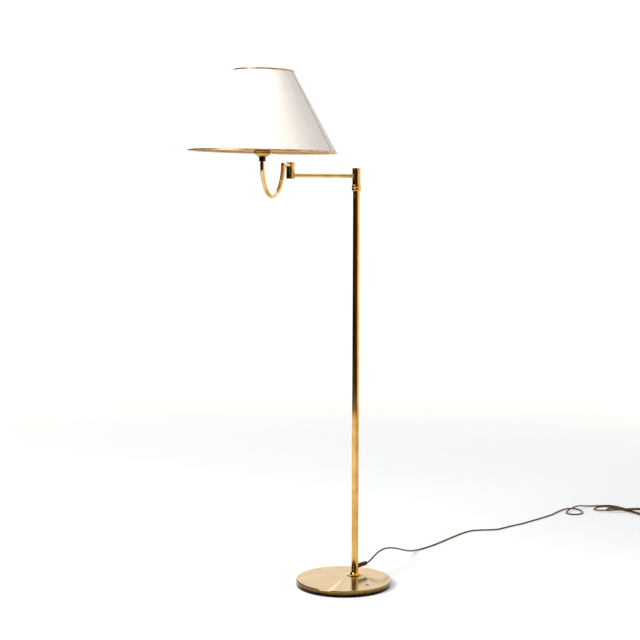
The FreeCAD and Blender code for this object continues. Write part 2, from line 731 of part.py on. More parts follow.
def ring_nut():
    """Nut that clamps the shade carrier; finger grooves run down its side."""
    low, high = FLANGE_Z + CARRIER_HUB_T, FLANGE_Z + CARRIER_HUB_T + RING_NUT_H
    nut = pipe_piece(RING_NUT_D, SKIRT_D + 2 * BRAZE, low, high)
    grooves = []
    for i in range(RING_NUT_GROOVES):
        angle = 2 * math.pi * i / RING_NUT_GROOVES
        centre = V(RING_NUT_D / 2 * math.cos(angle), RING_NUT_D / 2 * math.sin(angle), low - 1)
        grooves.append(Part.makeCylinder(RING_NUT_GROOVE_D / 2, RING_NUT_H + 2, centre))
    return on_holder(nut.cut(grooves))


def switch_bar():
    """Push-through bar; at rest it stands out on one side by its travel."""
    shift = -BAR_TRAVEL / 2
    bar = bar_rod(BAR_D, BAR_LENGTH, shift)
    for side in (-1, 1):
        middle = shift + side * (BAR_LENGTH + BAR_KNOB_T) / 2
        bar = bar.fuse(bar_rod(BAR_KNOB_D, BAR_KNOB_T, middle))
    return on_holder(bar.removeSplitter())


# ---- Bulb -----------------------------------------------------------------------------------------
def bulb_cap():
    low, high, radius = BULB_Z, BULB_Z + BULB_CAP_H, BULB_CAP_D / 2
    return on_holder(turned((0, low), (CONTACT_D / 2, low), (radius - 3, low + 2), (radius, low + 5),
                            (radius, high), (0, high)))


def bulb_glass():
    """Blown envelope: a neck that runs into a ball."""
    ball, low = BULB_D / 2, BULB_Z + BULB_CAP_H
    centre = BULB_Z + BULB_LENGTH - ball
    neck = BULB_NECK_D / 2
    meet = math.radians(-42)

    def wall(radius, narrow, base):
        joint = (radius * math.cos(meet), centre + radius * math.sin(meet))
        return (narrow, base), joint, (radius, centre), (0, centre + radius)

    start, joint, _, crown = wall(ball, neck, low)
    inner_start, inner_joint, _, inner_crown = wall(ball - BULB_GLASS_T, neck - BULB_GLASS_T, low)
    ease = math.radians(20)
    outer_mid = (ball * math.cos(ease), centre + ball * math.sin(ease))
    thin = ball - BULB_GLASS_T
    inner_mid = (thin * math.cos(ease), centre + thin * math.sin(ease))
    return on_holder(turned(
        start, (bow(start, joint, 1.5), joint), (outer_mid, crown), inner_crown,
        (inner_mid, inner_joint), (bow(inner_joint, inner_start, -1.5), inner_start)))


# ---- Shade ----------------------------------------------------------------------------------------
def shade_radius(height):
    """Outer radius of the cone at a height."""
    share = (height - SHADE_Z) / SHADE_H
    return SHADE_BOTTOM_D / 2 + (SHADE_TOP_D - SHADE_BOTTOM_D) / 2 * share


def shade_cone():
    """Laminated fabric cone with the lap of its seam."""
    low, top = SHADE_Z, SHADE_TOP
    foot, head = SHADE_BOTTOM_D / 2, SHADE_TOP_D / 2
    cone = turned((foot, low), (head, top), (head - SHADE_T, top), (foot - SHADE_T, low))
    ends = [(foot - SHADE_T / 2, low), (foot + SEAM_T, low), (head + SEAM_T, top), (head - SHADE_T / 2, top)]
    profile = Part.makePolygon([V(r, 0, z) for r, z in ends + ends[:1]])
    lap = Part.Face(profile).revolve(ORIGIN, UP, SEAM_LAP)
    lap.rotate(ORIGIN, UP, SEAM_AZIMUTH - OUTER_AZIMUTH)
    return on_holder(cone.fuse(lap))


def shade_trim(edge, inward):
    """Band folded over one edge of the cone; inward is +1 at the bottom rim and -1 at the top."""
    r0, r1 = shade_radius(edge), shade_radius(edge + inward * TRIM_H)
    gap, skin = SEAM_T + FIT, SEAM_T + FIT + TRIM_T
    flat, over = edge - inward * FIT, edge - inward * (FIT + TRIM_T)
    depth = SHADE_T + 2 * FIT
    inner = edge + inward * TRIM_H
    return on_holder(turned(
        (r1 + gap, inner), (r1 + skin, inner), (r0 + skin, over), (r0 - depth - TRIM_T, over),
        (r0 - depth - TRIM_T, flat), (r0 + gap, flat)))


def shade_bottom_trim():
    return shade_trim(SHADE_Z, 1)


def shade_top_trim():
    return shade_trim(SHADE_TOP, -1)


def rim_ring(height, wire):
    """Wire ring that lies against the inside of the cone; returns it with its radius."""
    slope = math.atan2(SHADE_BOTTOM_D - SHADE_TOP_D, 2 * SHADE_H)
    radius = shade_radius(height) - SHADE_T - (wire / 2 + FIT) / math.cos(slope)
    return Part.makeTorus(radius, wire / 2, V(0, 0, height)), radius


def shade_top_ring():
    ring, _ = rim_ring(SHADE_TOP - RIM_WIRE / 2 - FIT, RIM_WIRE)
    return on_holder(ring)


def shade_carrier():
    """Hub on the lamp holder's flange, three arms and the bottom rim ring, welded together."""
    level = SHADE_Z + CARRIER_WIRE / 2 + FIT
    ring, radius = rim_ring(level, CARRIER_WIRE)
    middle = FLANGE_Z + CARRIER_HUB_T / 2
    hub = pipe_piece(CARRIER_HUB_D, SKIRT_D + 2 * SLIP, FLANGE_Z, FLANGE_Z + CARRIER_HUB_T)
    carrier = hub
    for i in range(CARRIER_ARMS):
        angle = math.radians(CARRIER_AZIMUTH - OUTER_AZIMUTH + 360 * i / CARRIER_ARMS)
        out = V(math.cos(angle), math.sin(angle), 0)
        start = out * (CARRIER_HUB_D / 2 - CARRIER_WIRE / 2) + V(0, 0, middle)
        end = out * radius + V(0, 0, level)
        carrier = carrier.fuse(Part.makeCylinder(CARRIER_WIRE / 2, (end - start).Length, start, end - start))
    return on_holder(carrier.fuse(ring))


# ---- Cord, hank and plug ----------------------------------------------------------------------
def hank_point(turn):
    """Centre line of the hank; turn counts half turns, and a crown lies at each whole number.

    Along the axis it swings as reach * cos, and across it as width * |sin 2|, so each half turn
    is one loop of a figure of eight.  Every second crossing of the waist passes over the first.
    """
    angle = math.pi * turn
    crown = math.floor(turn + 0.5)
    reach = HANK_REACH[crown + 1]
    width = -HANK_BEFORE[crown + 1] if turn < crown else HANK_AFTER[crown + 1]
    waist = math.floor(turn - 0.5)
    share = turn - 0.5 - waist
    shift = HANK_WAIST[waist + 2] * (1 - share) + HANK_WAIST[waist + 3] * share
    along = reach * math.cos(angle)
    across = width * abs(math.sin(2 * angle)) + shift
    axis = math.radians(HANK_AXIS)
    x = HANK_X + along * math.cos(axis) - across * math.sin(axis)
    y = HANK_Y + along * math.sin(axis) + across * math.cos(axis)
    share = min(1.0, max(0.0, (turn - HANK_END + HANK_LIFT) / HANK_LIFT))
    lift = (PLUG_BODY_T / 2 - CORD_Z) * share * share * (3 - 2 * share)
    return V(x, y, CORD_Z + lift + HANK_HUMP * max(0.0, math.sin(angle)) ** 2)


def hank_heading(turn):
    """Unit tangent of the hank's centre line, level at its two ends."""
    step = 0.004
    before, after = max(turn - step, HANK_START), min(turn + step, HANK_END)
    along = hank_point(after) - hank_point(before)
    if before > turn - step or after < turn + step:
        along.z = 0
    return along.normalize()


def hank_edges():
    """Straight end, a biarc for each share of a half turn, straight end."""
    shares = int((HANK_END - 0.1 + 0.5) * HANK_STEPS / 2)
    stations = [HANK_START] + [2 * i / HANK_STEPS - 0.5 for i in range(shares + 1)] + [HANK_END]
    start, end = hank_point(HANK_START), hank_point(HANK_END)
    edges = [line(start - hank_heading(HANK_START) * CORD_D, start)]
    for a, b in zip(stations, stations[1:]):
        edges += biarc(hank_point(a), hank_heading(a), hank_point(b), hank_heading(b))
    edges.append(line(end, end + hank_heading(HANK_END) * CORD_D))
    return edges


def least_gap(edges, apart):
    """Least clear gap of a tube to itself, between places at least apart along it."""
    points, stations, so_far = [], [], 0.0
    for edge in edges:
        count = max(2, int(edge.Length / 2))
        for point in edge.discretize(count)[:-1]:
            if points:
                so_far += (point - points[-1]).Length
            points.append(point)
            stations.append(so_far)
    least = min((p - q).Length for i, p in enumerate(points) for j, q in enumerate(points)
                if stations[j] - stations[i] > apart)
    return least - CORD_D


def cord_lead():
    direction = V(math.cos(math.radians(STEM_AZIMUTH)), math.sin(math.radians(STEM_AZIMUTH)), 0)
    start = V(STEM_X, STEM_Y, OUTLET_HEIGHT) + direction * SLEEVE_TIP
    route = [V(*(point + (CORD_Z,))[:3]) for point in ROUTE]
    end = hank_point(HANK_START) - hank_heading(HANK_START) * CORD_D
    edges, radii = rounded_route([start] + route + [end])
    tube = swept(edges, CORD_D)
    length = sum(edge.Length for edge in edges)
    share = tube.Volume / (math.pi * CORD_R ** 2 * length)
    print("cord lead: length %.0f, radii %s" % (length, " ".join("%.0f" % r for r in radii)))
    print("cord lead: volume over section times length %.4f" % share)
    return tube


def cord_hank():
    edges = hank_edges()
    length = sum(edge.Length for edge in edges)
    print("cord hank: length %.0f, least gap to itself %.2f" % (length, least_gap(edges, 30)))
    return swept(edges, CORD_D)


def at_cord_end(shape):
    """Move a piece built along +X from the origin to the free end of the hank."""
    heading = hank_heading(HANK_END)
    shape.rotate(ORIGIN, UP, math.degrees(math.atan2(heading.y, heading.x)))
    shape.translate(hank_point(HANK_END) + heading * CORD_D)
    return shape


def plug_body():
    """Flat moulded plug with a tapered bend relief; it rests on the floor on its flat side."""
    depth, width, thick = PLUG_BODY_L, PLUG_BODY_W, PLUG_BODY_T
    body = Part.makeBox(depth, width, thick, V(PLUG_TAIL_L, -width / 2, -thick / 2))
    body = body.makeFillet(PLUG_EDGE_R, body.Edges)
    tail = Part.makeCone(PLUG_TIP_D / 2, PLUG_TAIL_D / 2, PLUG_TAIL_L + PLUG_EDGE_R, ORIGIN, V(1, 0, 0))
    return at_cord_end(body.fuse(tail))


def plug_pins():
    """Pair of round pins with domed ends."""
    pins = []
    for side in (-1, 1):
        start = V(PLUG_TAIL_L + PLUG_BODY_L, side * PLUG_PIN_GAP / 2, 0)
        radius = PLUG_PIN_D / 2
        pin = Part.makeCylinder(radius, PLUG_PIN_L - radius, start, V(1, 0, 0))
        tip = Part.makeSphere(radius, start + V(PLUG_PIN_L - radius, 0, 0))
        pins.append(pin.fuse(tip).removeSplitter())
    return at_cord_end(Part.makeCompound(pins))


PIECES = [
    base_felt, base_weight, base_cover, stem_nipple, stem_washer, stem_nut, stem_foot, stem_plug,
    stem_tube, sleeve_ring, cord_sleeve, stem_wire, stem_collar, head_spindle, head_washer,
    head_spring, head_nut, head_sleeve, head_cap, inner_arm_tube, inner_arm_wire, elbow_lower,
    elbow_base_cap, elbow_pin, elbow_washer, elbow_spring, elbow_nut, elbow_upper, elbow_top_cap,
    outer_stub, swan_neck, neck_wire, neck_coupling, cup, holder_nipple, holder_cap, holder_skirt,
    holder_block, screw_shell, centre_contact, ring_nut, switch_bar, bulb_cap, bulb_glass,
    shade_cone, shade_bottom_trim, shade_top_trim, shade_top_ring, shade_carrier, cord_lead,
    cord_hank, plug_body, plug_pins,
]


def main():
    os.makedirs("parts", exist_ok=True)
    for piece in PIECES:
        shape = piece()
        state = "valid" if shape.isValid() else "NOT VALID"
        print("%-18s %d solid, %9.1f mm3, %s" % (piece.__name__, len(shape.Solids), shape.Volume, state))
        shape.exportStep("parts/" + piece.__name__ + ".step")


main()
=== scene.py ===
"""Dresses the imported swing-arm floor lamp: materials, cloth shade, cord, plug and studio.

Metres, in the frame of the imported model: the origin is the centre of the base's underside,
+X is to the right, +Y points away from the viewer and +Z is up.
"""

import math

import bmesh
import bpy
import numpy as np
from mathutils import Matrix


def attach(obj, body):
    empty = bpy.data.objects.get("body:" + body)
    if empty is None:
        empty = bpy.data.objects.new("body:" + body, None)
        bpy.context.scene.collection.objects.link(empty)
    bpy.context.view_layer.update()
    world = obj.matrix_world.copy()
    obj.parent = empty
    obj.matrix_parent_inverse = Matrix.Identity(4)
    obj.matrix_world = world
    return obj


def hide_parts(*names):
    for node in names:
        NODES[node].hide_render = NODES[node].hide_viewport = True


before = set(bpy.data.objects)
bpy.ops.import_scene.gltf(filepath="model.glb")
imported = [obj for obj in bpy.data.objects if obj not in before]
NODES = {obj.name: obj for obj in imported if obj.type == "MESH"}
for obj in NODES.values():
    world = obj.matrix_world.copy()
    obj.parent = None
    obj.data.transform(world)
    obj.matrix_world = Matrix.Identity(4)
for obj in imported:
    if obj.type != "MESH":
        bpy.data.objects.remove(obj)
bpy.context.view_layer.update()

bl_info = {
    "name": "Swing-arm floor lamp",
    "version": (1, 0, 0),
    "blender": (4, 5, 0),
    "location": "3D View > Sidebar > Lamp",
    "description": "Dresses a swing-arm floor lamp with a cone shade",
    "category": "Object",
}

MM = 0.001
TAU = 2 * math.pi

# ---- Places and sizes, the same as in the part's source: millimetres, the lap in degrees --
ELBOW = (-139.768, -27.095)
OUTER_AZIMUTH = math.radians(253.5)
LEAN = math.radians(-1.2)
STUB_Z = 1102.0
REACH = 223.0
SHADE_Z = 1128.7
SHADE_H = 195.0
SHADE_FOOT = 180.0
SHADE_HEAD = 70.0
SHADE_T = 1.1
SHADE_ROWS = 40
SEAM_AZIMUTH = math.radians(338.0)
SEAM_T = 0.7
LAP_EDGE = 0.15
LAP_EASE = 3.5
LAP_END = 7
TRIM_H = 2.8
TRIM_T = 0.45
TRIM_OUTER_GAP = 0.05
TRIM_INNER_GAP = 0.1
TRIM_EDGE_GAP = 0.02
TRIM_TURN_IN = 0.6
TRIM_WAVE = 0.025
TRIM_SIDES = 240
BASE_R = 125.0
BASE_TOP = 17.5
RIM_ROUND = 1.0
CUP_FOOT_Z = 1117.0
CUP_LIP_Z = 1129.0
HIGHLIGHT_AZIMUTH = math.radians(253.0)
SCUFF = (60.9, -65.0, 17.5)
SCUFF_SIZE = (5.0, 8.5)
FELT_R = 124.0
FELT_T = 3.0
FELT_FUZZ = 0.09
FELT_SIDES = 288

# ---- Marks, weave and painted light: millimetres, and shares of a tone's range --------------
LAP_LINE = (0.4, 2.2)
LAP_LINE_DARK = 0.45
SLUB = 40
SLUB_STRETCH = 14.0
BAND_RAGGED = 0.12
RING_PITCH = 0.9
HIGHLIGHT_SLOPE = 0.11
HIGHLIGHT_SHARE = 0.5
FOOT_SHADOW_RISE = 0.62
WALL_WORN = 0.38
CHIP_DARK = 1.1

# ---- Cord and plug: the route's corner points, (x, y) or (x, y, z), in millimetres --------
CORD_Z = 2.3
CORD_D = 4.5
OUTLET = (61.84, 70.26, 40.0)
ROUTE = [
    (70.5, 80, 40.5), (81, 93, 49), (95, 111, 59), (112, 136, 62.5), (129, 164, 58),
    (147, 199, 48.5), (166, 241, 34), (187, 290, 17.5), (208, 338, 5), (238, 376),
    (273, 418), (306, 467), (340, 519), (374, 569), (405, 601), (446, 608), (484, 612),
    (512, 640), (541, 667), (572, 691), (600, 722), (628, 751), (657, 783), (686, 816),
    (707, 851), (732, 889), (752, 908), (776, 913), (790, 892), (795, 860), (787, 832),
    (766, 821), (744, 827), (737, 848), (748, 868, 5), (771, 889, 12), (794, 911, 12),
    (815, 935, 5), (843, 949), (876, 954),
]
HANK_CENTRE = (952.0, 868.0)
HANK_AXIS = math.radians(-24.0)
HANK_REACH = [105.0, 85.0, 118.0, 115.0, 78.0, 150.0]
HANK_BEFORE = [50.0, 34.0, 32.0, 46.0, 26.0, 70.0]
HANK_AFTER = [50.0, 27.0, 44.0, 40.0, 30.0, 70.0]
HANK_WAIST = [11.5, 11.5, -9.0, 0.0, 9.0, -11.5, -11.5]
HANK_HUMP = 7.6
HANK_START = -0.785
HANK_END = 3.76
HANK_LIFT = 0.5
HANK_POINTS = 57
HANK_STEP = 0.004
PLUG_T = 13.7
PLUG_W = 26.0
PLUG_TAIL = 16.0
PLUG_L = 36.0
PLUG_ROWS = 150
PLUG_SIDES = 56
TAIL_R = 2.8
TAIL_FLARE = 0.95
GROOVE_PITCH = 2.6
GROOVE_DEPTH = 0.35
RIDGE_PITCH = 3.2
RIDGE_HEIGHT = 0.45

# ---- Camera, found from the photograph: focal length in pixels of a 640 pixel frame -----
FRAME_PX = 640
FOCAL_PX = 1393.6
SENSOR_MM = 36.0
CAMERA_AT = (-0.0634, -3.615, 1.014)
CAMERA_PITCH = math.radians(4.921)
CAMERA_ROLL = math.radians(0.115)

# ---- Studio: metres, azimuths in degrees and hex colours; the floor lies in millimetres -----
CARD_SIDES = 36
FLOOR_SIDES = 96
FLOOR_RINGS = (0.0, 0.5, 1.0, 2.0, 3.0, 4.5, 7.0, 10.0)
FLOOR_UNIT = 7.0
FLOOR_Z = -0.35
FLOOR_GLOW = 0.14
FADE_START = 1.5
FADE_END = 0.6
SKY_TINT = (1.0, 0.965, 0.93, 1.0)
KEY_BOX = {"at": (-3.2, -2.4, 3.1), "aim": (-0.1, 0.0, 0.7), "size": 2.2, "code": "FFFAF2"}
FILL_BOX = {"at": (3.0, -3.0, 2.2), "aim": (0.0, 0.0, 0.8), "size": 2.5, "code": "F4F7FF"}
FILL_SHARE = 0.05
CARDS = [
    ("room_left", (115, 246), (5.2, 5.2), (0.02, 9.0), "1C160D"),
    ("room", (246, 300), (5.2, 5.2), (0.02, 9.0), "42341F"),
    ("curtain", (300, 325), (5.2, 5.2), (0.02, 9.0), "806A48"),
    ("dark_floor", (115, 325), (3.3, 5.2), (0.004, 0.02), "2E2418"),
    ("brown_floor", (115, 325), (2.9, 3.3), (0.004, 0.004), "6E5436"),
]


# ======================= Colours, nodes and meshes =========================================
def linear(code):
    """sRGB hex value to linear red, green, blue and alpha 1."""
    channels = [int(code[i:i + 2], 16) / 255 for i in (0, 2, 4)]
    return tuple(c / 12.92 if c <= 0.04045 else ((c + 0.055) / 1.055) ** 2.4
                 for c in channels) + (1.0,)


def add(tree, kind, settings=None, **inputs):
    """Adds a node; settings are its properties, inputs are values or sockets.

    An input goes by its name, with _ for a space, or by its number after a _.
    """
    made = tree.nodes.new(kind)
    for key, value in (settings or {}).items():
        setattr(made, key, value)
    for key, value in inputs.items():
        socket = made.inputs[int(key[1:]) if key[1:].isdigit() else key.replace("_", " ")]
        if isinstance(value, bpy.types.NodeSocket):
            tree.links.new(value, socket)
        else:
            socket.default_value = value
    return made


def finish_of(name, **values):
    """New material; returns it with its tree and Principled shader, whose plain values are set."""
    made = bpy.data.materials.new(name)
    made.use_nodes = True
    shader = made.node_tree.nodes["Principled BSDF"]
    for key, value in values.items():
        shader.inputs[key.replace("_", " ")].default_value = value
    return made, made.node_tree, shader


def tones(tree, shader, factor, stops, socket="Base Color"):
    """Feeds a shader's colour from a ramp; stops are (position, hex) pairs."""
    ramp = add(tree, "ShaderNodeValToRGB", Fac=factor)
    elements = ramp.color_ramp.elements
    for element, (place, code) in zip(list(elements), stops):
        element.position, element.color = place, linear(code)
    for place, code in stops[2:]:
        elements.new(place).color = linear(code)
    tree.links.new(ramp.outputs["Color"], shader.inputs[socket])


def levels(tree, shader, factor, low, high, socket="Roughness"):
    """Feeds a shader's number with a factor stretched from low to high."""
    span = add(tree, "ShaderNodeMapRange", Value=factor, To_Min=low, To_Max=high)
    tree.links.new(span.outputs["Result"], shader.inputs[socket])


def relief(tree, shader, height, depth_mm, strength=1.0):
    """Bumps a shader by a height; depth_mm is the real height of the bumps."""
    bump = add(tree, "ShaderNodeBump", Strength=strength, Distance=depth_mm * MM, Height=height)
    tree.links.new(bump.outputs["Normal"], shader.inputs["Normal"])


def noise(tree, vector, size_mm, detail=3.0, roughness=0.5):
    """Noise whose blotches are about size_mm across."""
    made = add(tree, "ShaderNodeTexNoise", Vector=vector, Scale=1 / (size_mm * MM), Detail=detail,
               Roughness=roughness)
    return made.outputs["Fac"]


def place_of(tree):
    """Object coordinates."""
    return add(tree, "ShaderNodeTexCoord").outputs["Object"]


def stretched(tree, vector, scale, turn=(0, 0, 0), shift=(0, 0, 0)):
    """Coordinates scaled, turned and shifted by a Mapping node."""
    made = add(tree, "ShaderNodeMapping", Vector=vector, Scale=scale, Rotation=turn, Location=shift)
    return made.outputs["Vector"]


def arith(tree, operation, first, second=0.0):
    """Math node."""
    return add(tree, "ShaderNodeMath", {"operation": operation}, _0=first, _1=second).outputs[0]


def mottled(name, blotches, dull, bright, gloss=None, grain=None, **values):
    """Material with blotches from a dull to a bright tone; sizes are in millimetres.

    blotches is (size, detail), gloss is (size, lowest and highest roughness) and grain is
    (size, detail, depth, strength).  values are the shader's plain values.
    """
    made, tree, shader = finish_of(name, **values)
    place = place_of(tree)
    tones(tree, shader, noise(tree, place, *blotches), [(0.3, dull), (0.7, bright)])
    if gloss:
        levels(tree, shader, noise(tree, place, gloss[0], 2.0), *gloss[1:])
    if grain:
        relief(tree, shader, noise(tree, place, *grain[:2]), *grain[2:])
    return made


def surface(name, grid, wrap_u=False, wrap_v=False, uv=None, second=None):
    """Mesh object from a grid of points in millimetres, shape (rows, columns, 3).

    Quads join neighbours; wrap_u joins the last row to the first and wrap_v does the same with
    the columns.  uv holds a pair for each point, for a grid without wrap_u.  second is a mask of
    the columns whose faces take the second material.
    """
    rows, columns = grid.shape[:2]
    if wrap_v:
        grid = np.concatenate([grid, grid[:, :1]], axis=1)
        uv = None if uv is None else np.concatenate([uv, uv[:, :1]], axis=1)
        columns += 1
    if wrap_u:
        grid = np.concatenate([grid, grid[:1]], axis=0)
        rows += 1
    index = np.arange(rows * columns).reshape(rows, columns)
    quads = np.stack([index[:-1, :-1], index[:-1, 1:], index[1:, 1:], index[1:, :-1]], axis=-1)
    mesh = bpy.data.meshes.new(name)
    mesh.from_pydata(grid.reshape(-1, 3) * MM, [], quads.reshape(-1, 4))
    mesh.polygons.foreach_set("use_smooth", np.ones(len(mesh.polygons), bool))
    if second is not None:
        pick = np.broadcast_to(second[None, :], (rows - 1, columns - 1)).astype(np.int32)
        mesh.polygons.foreach_set("material_index", pick.ravel())
    if uv is not None:
        layer = mesh.uv_layers.new(name="UVMap")
        corners = np.empty(len(mesh.loops), np.int32)
        mesh.loops.foreach_get("vertex_index", corners)
        layer.data.foreach_set("uv", uv.reshape(-1, 2)[corners].astype(np.float32).ravel())
    work = bmesh.new()
    work.from_mesh(mesh)
    bmesh.ops.remove_doubles(work, verts=work.verts, dist=2e-6)
    bmesh.ops.dissolve_degenerate(work, edges=work.edges, dist=1e-6)
    bmesh.ops.recalc_face_normals(work, faces=work.faces)
    work.to_mesh(mesh)
    work.free()
    made = bpy.data.objects.new(name, mesh)
    bpy.context.scene.collection.objects.link(made)
    return made


def wear(piece, *finishes):
    """Gives a piece its materials; clearing an empty list would reset the faces' choice."""
    if len(piece.data.materials):
        piece.data.materials.clear()
    for one in finishes:
        piece.data.materials.append(one)


def wear_nodes(finish, slot, *names):
    """Gives CAD nodes one material."""
    for name in names:
        piece = NODES[name]
        wear(piece, finish)


def at_holder(points):
    """From the lamp holder's own axes, with z from the floor, to the lamp's frame.

    Shift by the arm's reach, lean about the stub's axis, turn to the outer arm's azimuth and
    move to the elbow.
    """
    x, y, z = points[..., 0] + REACH, points[..., 1], points[..., 2] - STUB_Z
    leant_y = y * math.cos(LEAN) - z * math.sin(LEAN)
    leant_z = y * math.sin(LEAN) + z * math.cos(LEAN) + STUB_Z
    c, s = math.cos(OUTER_AZIMUTH), math.sin(OUTER_AZIMUTH)
    across, ahead = x * c - leant_y * s, x * s + leant_y * c
    return np.stack([across + ELBOW[0], ahead + ELBOW[1], leant_z], axis=-1)


def spun(radii, heights, angles):
    """Surface of revolution: each profile point turned about Z; radii may vary with the angle."""
    radii = np.broadcast_to(radii, (len(angles), len(heights)))
    heights = np.broadcast_to(heights, radii.shape)
    angles = angles[:, None]
    return np.stack([radii * np.cos(angles), radii * np.sin(angles), heights], axis=-1)


# ======================= Settings a user would change ========================================
def colour(name, words, code):
    """Colour property with a hex default."""
    return bpy.props.FloatVectorProperty(name=name, description=words, subtype="COLOR", size=4,
                                         min=0.0, max=1.0, default=linear(code))


class LampBrass(bpy.types.PropertyGroup):
    """Brass of the stem, the arms and the base."""
    roughness: bpy.props.FloatProperty(
        name="Roughness", description="Gloss of the polished tubes", default=0.075, min=0.0,
        max=1.0)
    base_roughness: bpy.props.FloatProperty(
        name="Base roughness", description="Gloss of the spun base cover", default=0.16, min=0.0,
        max=1.0)


class LampShade(bpy.types.PropertyGroup):
    """Cloth of the shade."""
    thread: bpy.props.FloatProperty(
        name="Thread spacing", default=0.0014, min=0.0002, unit="LENGTH",
        description="Distance between two threads, drawn coarse enough to show")
    seam_step: bpy.props.FloatProperty(
        name="Seam thickness", description="Step at the lap seam", default=0.0007, min=0.0,
        unit="LENGTH")


class LampCord(bpy.types.PropertyGroup):
    """Mains cord."""
    diameter: bpy.props.FloatProperty(
        name="Diameter", description="Outer diameter of the cord", default=0.0045, min=0.001,
        unit="LENGTH")
    length: bpy.props.FloatProperty(
        name="Length", description="Real length of the cord from the sleeve to the plug",
        default=2.77, min=0.5, unit="LENGTH")


class LampStudio(bpy.types.PropertyGroup):
    """Floor, lights and camera."""
    floor: colour("Floor", "Colour of the studio floor", "F3F9FF")
    backdrop: bpy.props.FloatProperty(
        name="Backdrop", description="Brightness of the white backdrop behind the lamp",
        default=1.10, min=0.0)
    sky: bpy.props.FloatProperty(
        name="Surround", description="Light that the white surround throws on the lamp",
        default=0.60, min=0.0)
    gleam: bpy.props.FloatProperty(
        name="Gleam", description="Brightness of the surround in polished metal", default=1.35,
        min=0.0)
    key: bpy.props.FloatProperty(
        name="Key light", description="Power of the soft box at the front left", default=215.0,
        min=0.0, unit="POWER")
    floor_radius: bpy.props.FloatProperty(
        name="Floor radius", default=7.0, min=2.0, unit="LENGTH",
        description="Size of the floor, which has faded out at six tenths of it")


class LampOperator(bpy.types.Operator):
    """What all the lamp's operators share."""
    bl_options = {"REGISTER", "UNDO"}

    def execute(self, context):
        self.make(context)
        return {"FINISHED"}


# ======================= Studio ================================================================
class LAMP_OT_studio(LampOperator):
    """Camera, floor, soft boxes, surround and the dark cards that the brass reflects"""
    bl_idname = "lamp.studio"
    bl_label = "Studio"

    def camera(self):
        data = bpy.data.cameras.new("camera")
        data.sensor_width = SENSOR_MM
        data.lens = FOCAL_PX * SENSOR_MM / FRAME_PX
        data.clip_start, data.clip_end = 0.05, 200.0
        eye = bpy.data.objects.new("camera", data)
        bpy.context.scene.collection.objects.link(eye)
        ahead = np.array([0, math.cos(CAMERA_PITCH), -math.sin(CAMERA_PITCH)])
        above = np.array([0, math.sin(CAMERA_PITCH), math.cos(CAMERA_PITCH)])
        right = np.array([1.0, 0, 0]) * math.cos(CAMERA_ROLL) + above * math.sin(CAMERA_ROLL)
        above = np.cross(right, ahead)
        pose = np.eye(4)
        pose[:3, 0], pose[:3, 1], pose[:3, 2], pose[:3, 3] = right, above, -ahead, CAMERA_AT
        eye.matrix_world = Matrix(pose.tolist())
        bpy.context.scene.camera = eye

    def floor(self, settings):
        """Rings of a flat disc; the paper fades to nothing towards its rim, so no horizon shows."""
        radii = np.array(FLOOR_RINGS) * settings.floor_radius / FLOOR_UNIT / MM
        angles = np.linspace(0, TAU, FLOOR_SIDES, endpoint=False)
        paper = surface("floor", spun(radii, np.full(len(radii), FLOOR_Z), angles), wrap_u=True)
        made, tree, shader = finish_of(
            "studio_paper", Base_Color=settings.floor, Roughness=0.9, Specular_IOR_Level=0.1,
            Emission_Color=linear("FFFFFF"), Emission_Strength=FLOOR_GLOW)
        away = add(tree, "ShaderNodeVectorMath", {"operation": "LENGTH"}, _0=place_of(tree))
        fade = add(tree, "ShaderNodeMapRange", {"interpolation_type": "SMOOTHSTEP"},
                   Value=away.outputs["Value"], From_Min=FADE_START,
                   From_Max=settings.floor_radius * FADE_END, To_Min=1.0, To_Max=0.0)
        tree.links.new(fade.outputs["Result"], shader.inputs["Alpha"])
        wear(paper, made)

    def flag(self, name, span, radius, z, code):
        """Curved card that only polished metal sees: a strip of a cone about the lamp.

        span is its first and last azimuth in degrees; the pairs radius and z are in metres.
        """
        angles = np.radians(np.linspace(*span, CARD_SIDES))
        card = surface(name, spun(np.array(radius) / MM, np.array(z) / MM, angles))
        cloth = finish_of(name + "_cloth", Base_Color=linear("000000"), Roughness=1.0,
                          Emission_Color=linear(code), Emission_Strength=1.0)[0]
        wear(card, cloth)
        card.visible_camera = card.visible_diffuse = card.visible_shadow = False
        card.visible_transmission = False

    def lamp(self, name, power, at, aim, size, code):
        """Square soft box at a point, facing another."""
        data = bpy.data.lights.new(name, "AREA")
        data.size, data.energy, data.color = size, power, linear(code)[:3]
        box = bpy.data.objects.new(name, data)
        bpy.context.scene.collection.objects.link(box)
        back = np.array(at, float) - np.array(aim, float)
        back /= np.linalg.norm(back)
        side = np.cross([0, 0, 1.0], back)
        side /= np.linalg.norm(side)
        pose = np.eye(4)
        pose[:3, 0], pose[:3, 1], pose[:3, 2], pose[:3, 3] = side, np.cross(back, side), back, at
        box.matrix_world = Matrix(pose.tolist())

    def make(self, context):
        settings = context.scene.lamp_studio
        self.camera()
        self.floor(settings)
        world = bpy.data.worlds.new("surround")
        context.scene.world = world
        world.use_nodes = True
        tree = world.node_tree
        sky = tree.nodes["Background"]
        sky.inputs["Color"].default_value = SKY_TINT
        path = add(tree, "ShaderNodeLightPath")
        lit = add(tree, "ShaderNodeMapRange", Value=path.outputs["Is Diffuse Ray"],
                  To_Min=settings.gleam, To_Max=settings.sky)
        seen = add(tree, "ShaderNodeMapRange", Value=path.outputs["Is Camera Ray"],
                   To_Min=lit.outputs["Result"], To_Max=settings.backdrop)
        tree.links.new(seen.outputs["Result"], sky.inputs["Strength"])
        context.scene.view_settings.view_transform = "Standard"
        self.lamp("key", settings.key, **KEY_BOX)
        self.lamp("fill", settings.key * FILL_SHARE, **FILL_BOX)
        for card in CARDS:
            self.flag(*card)


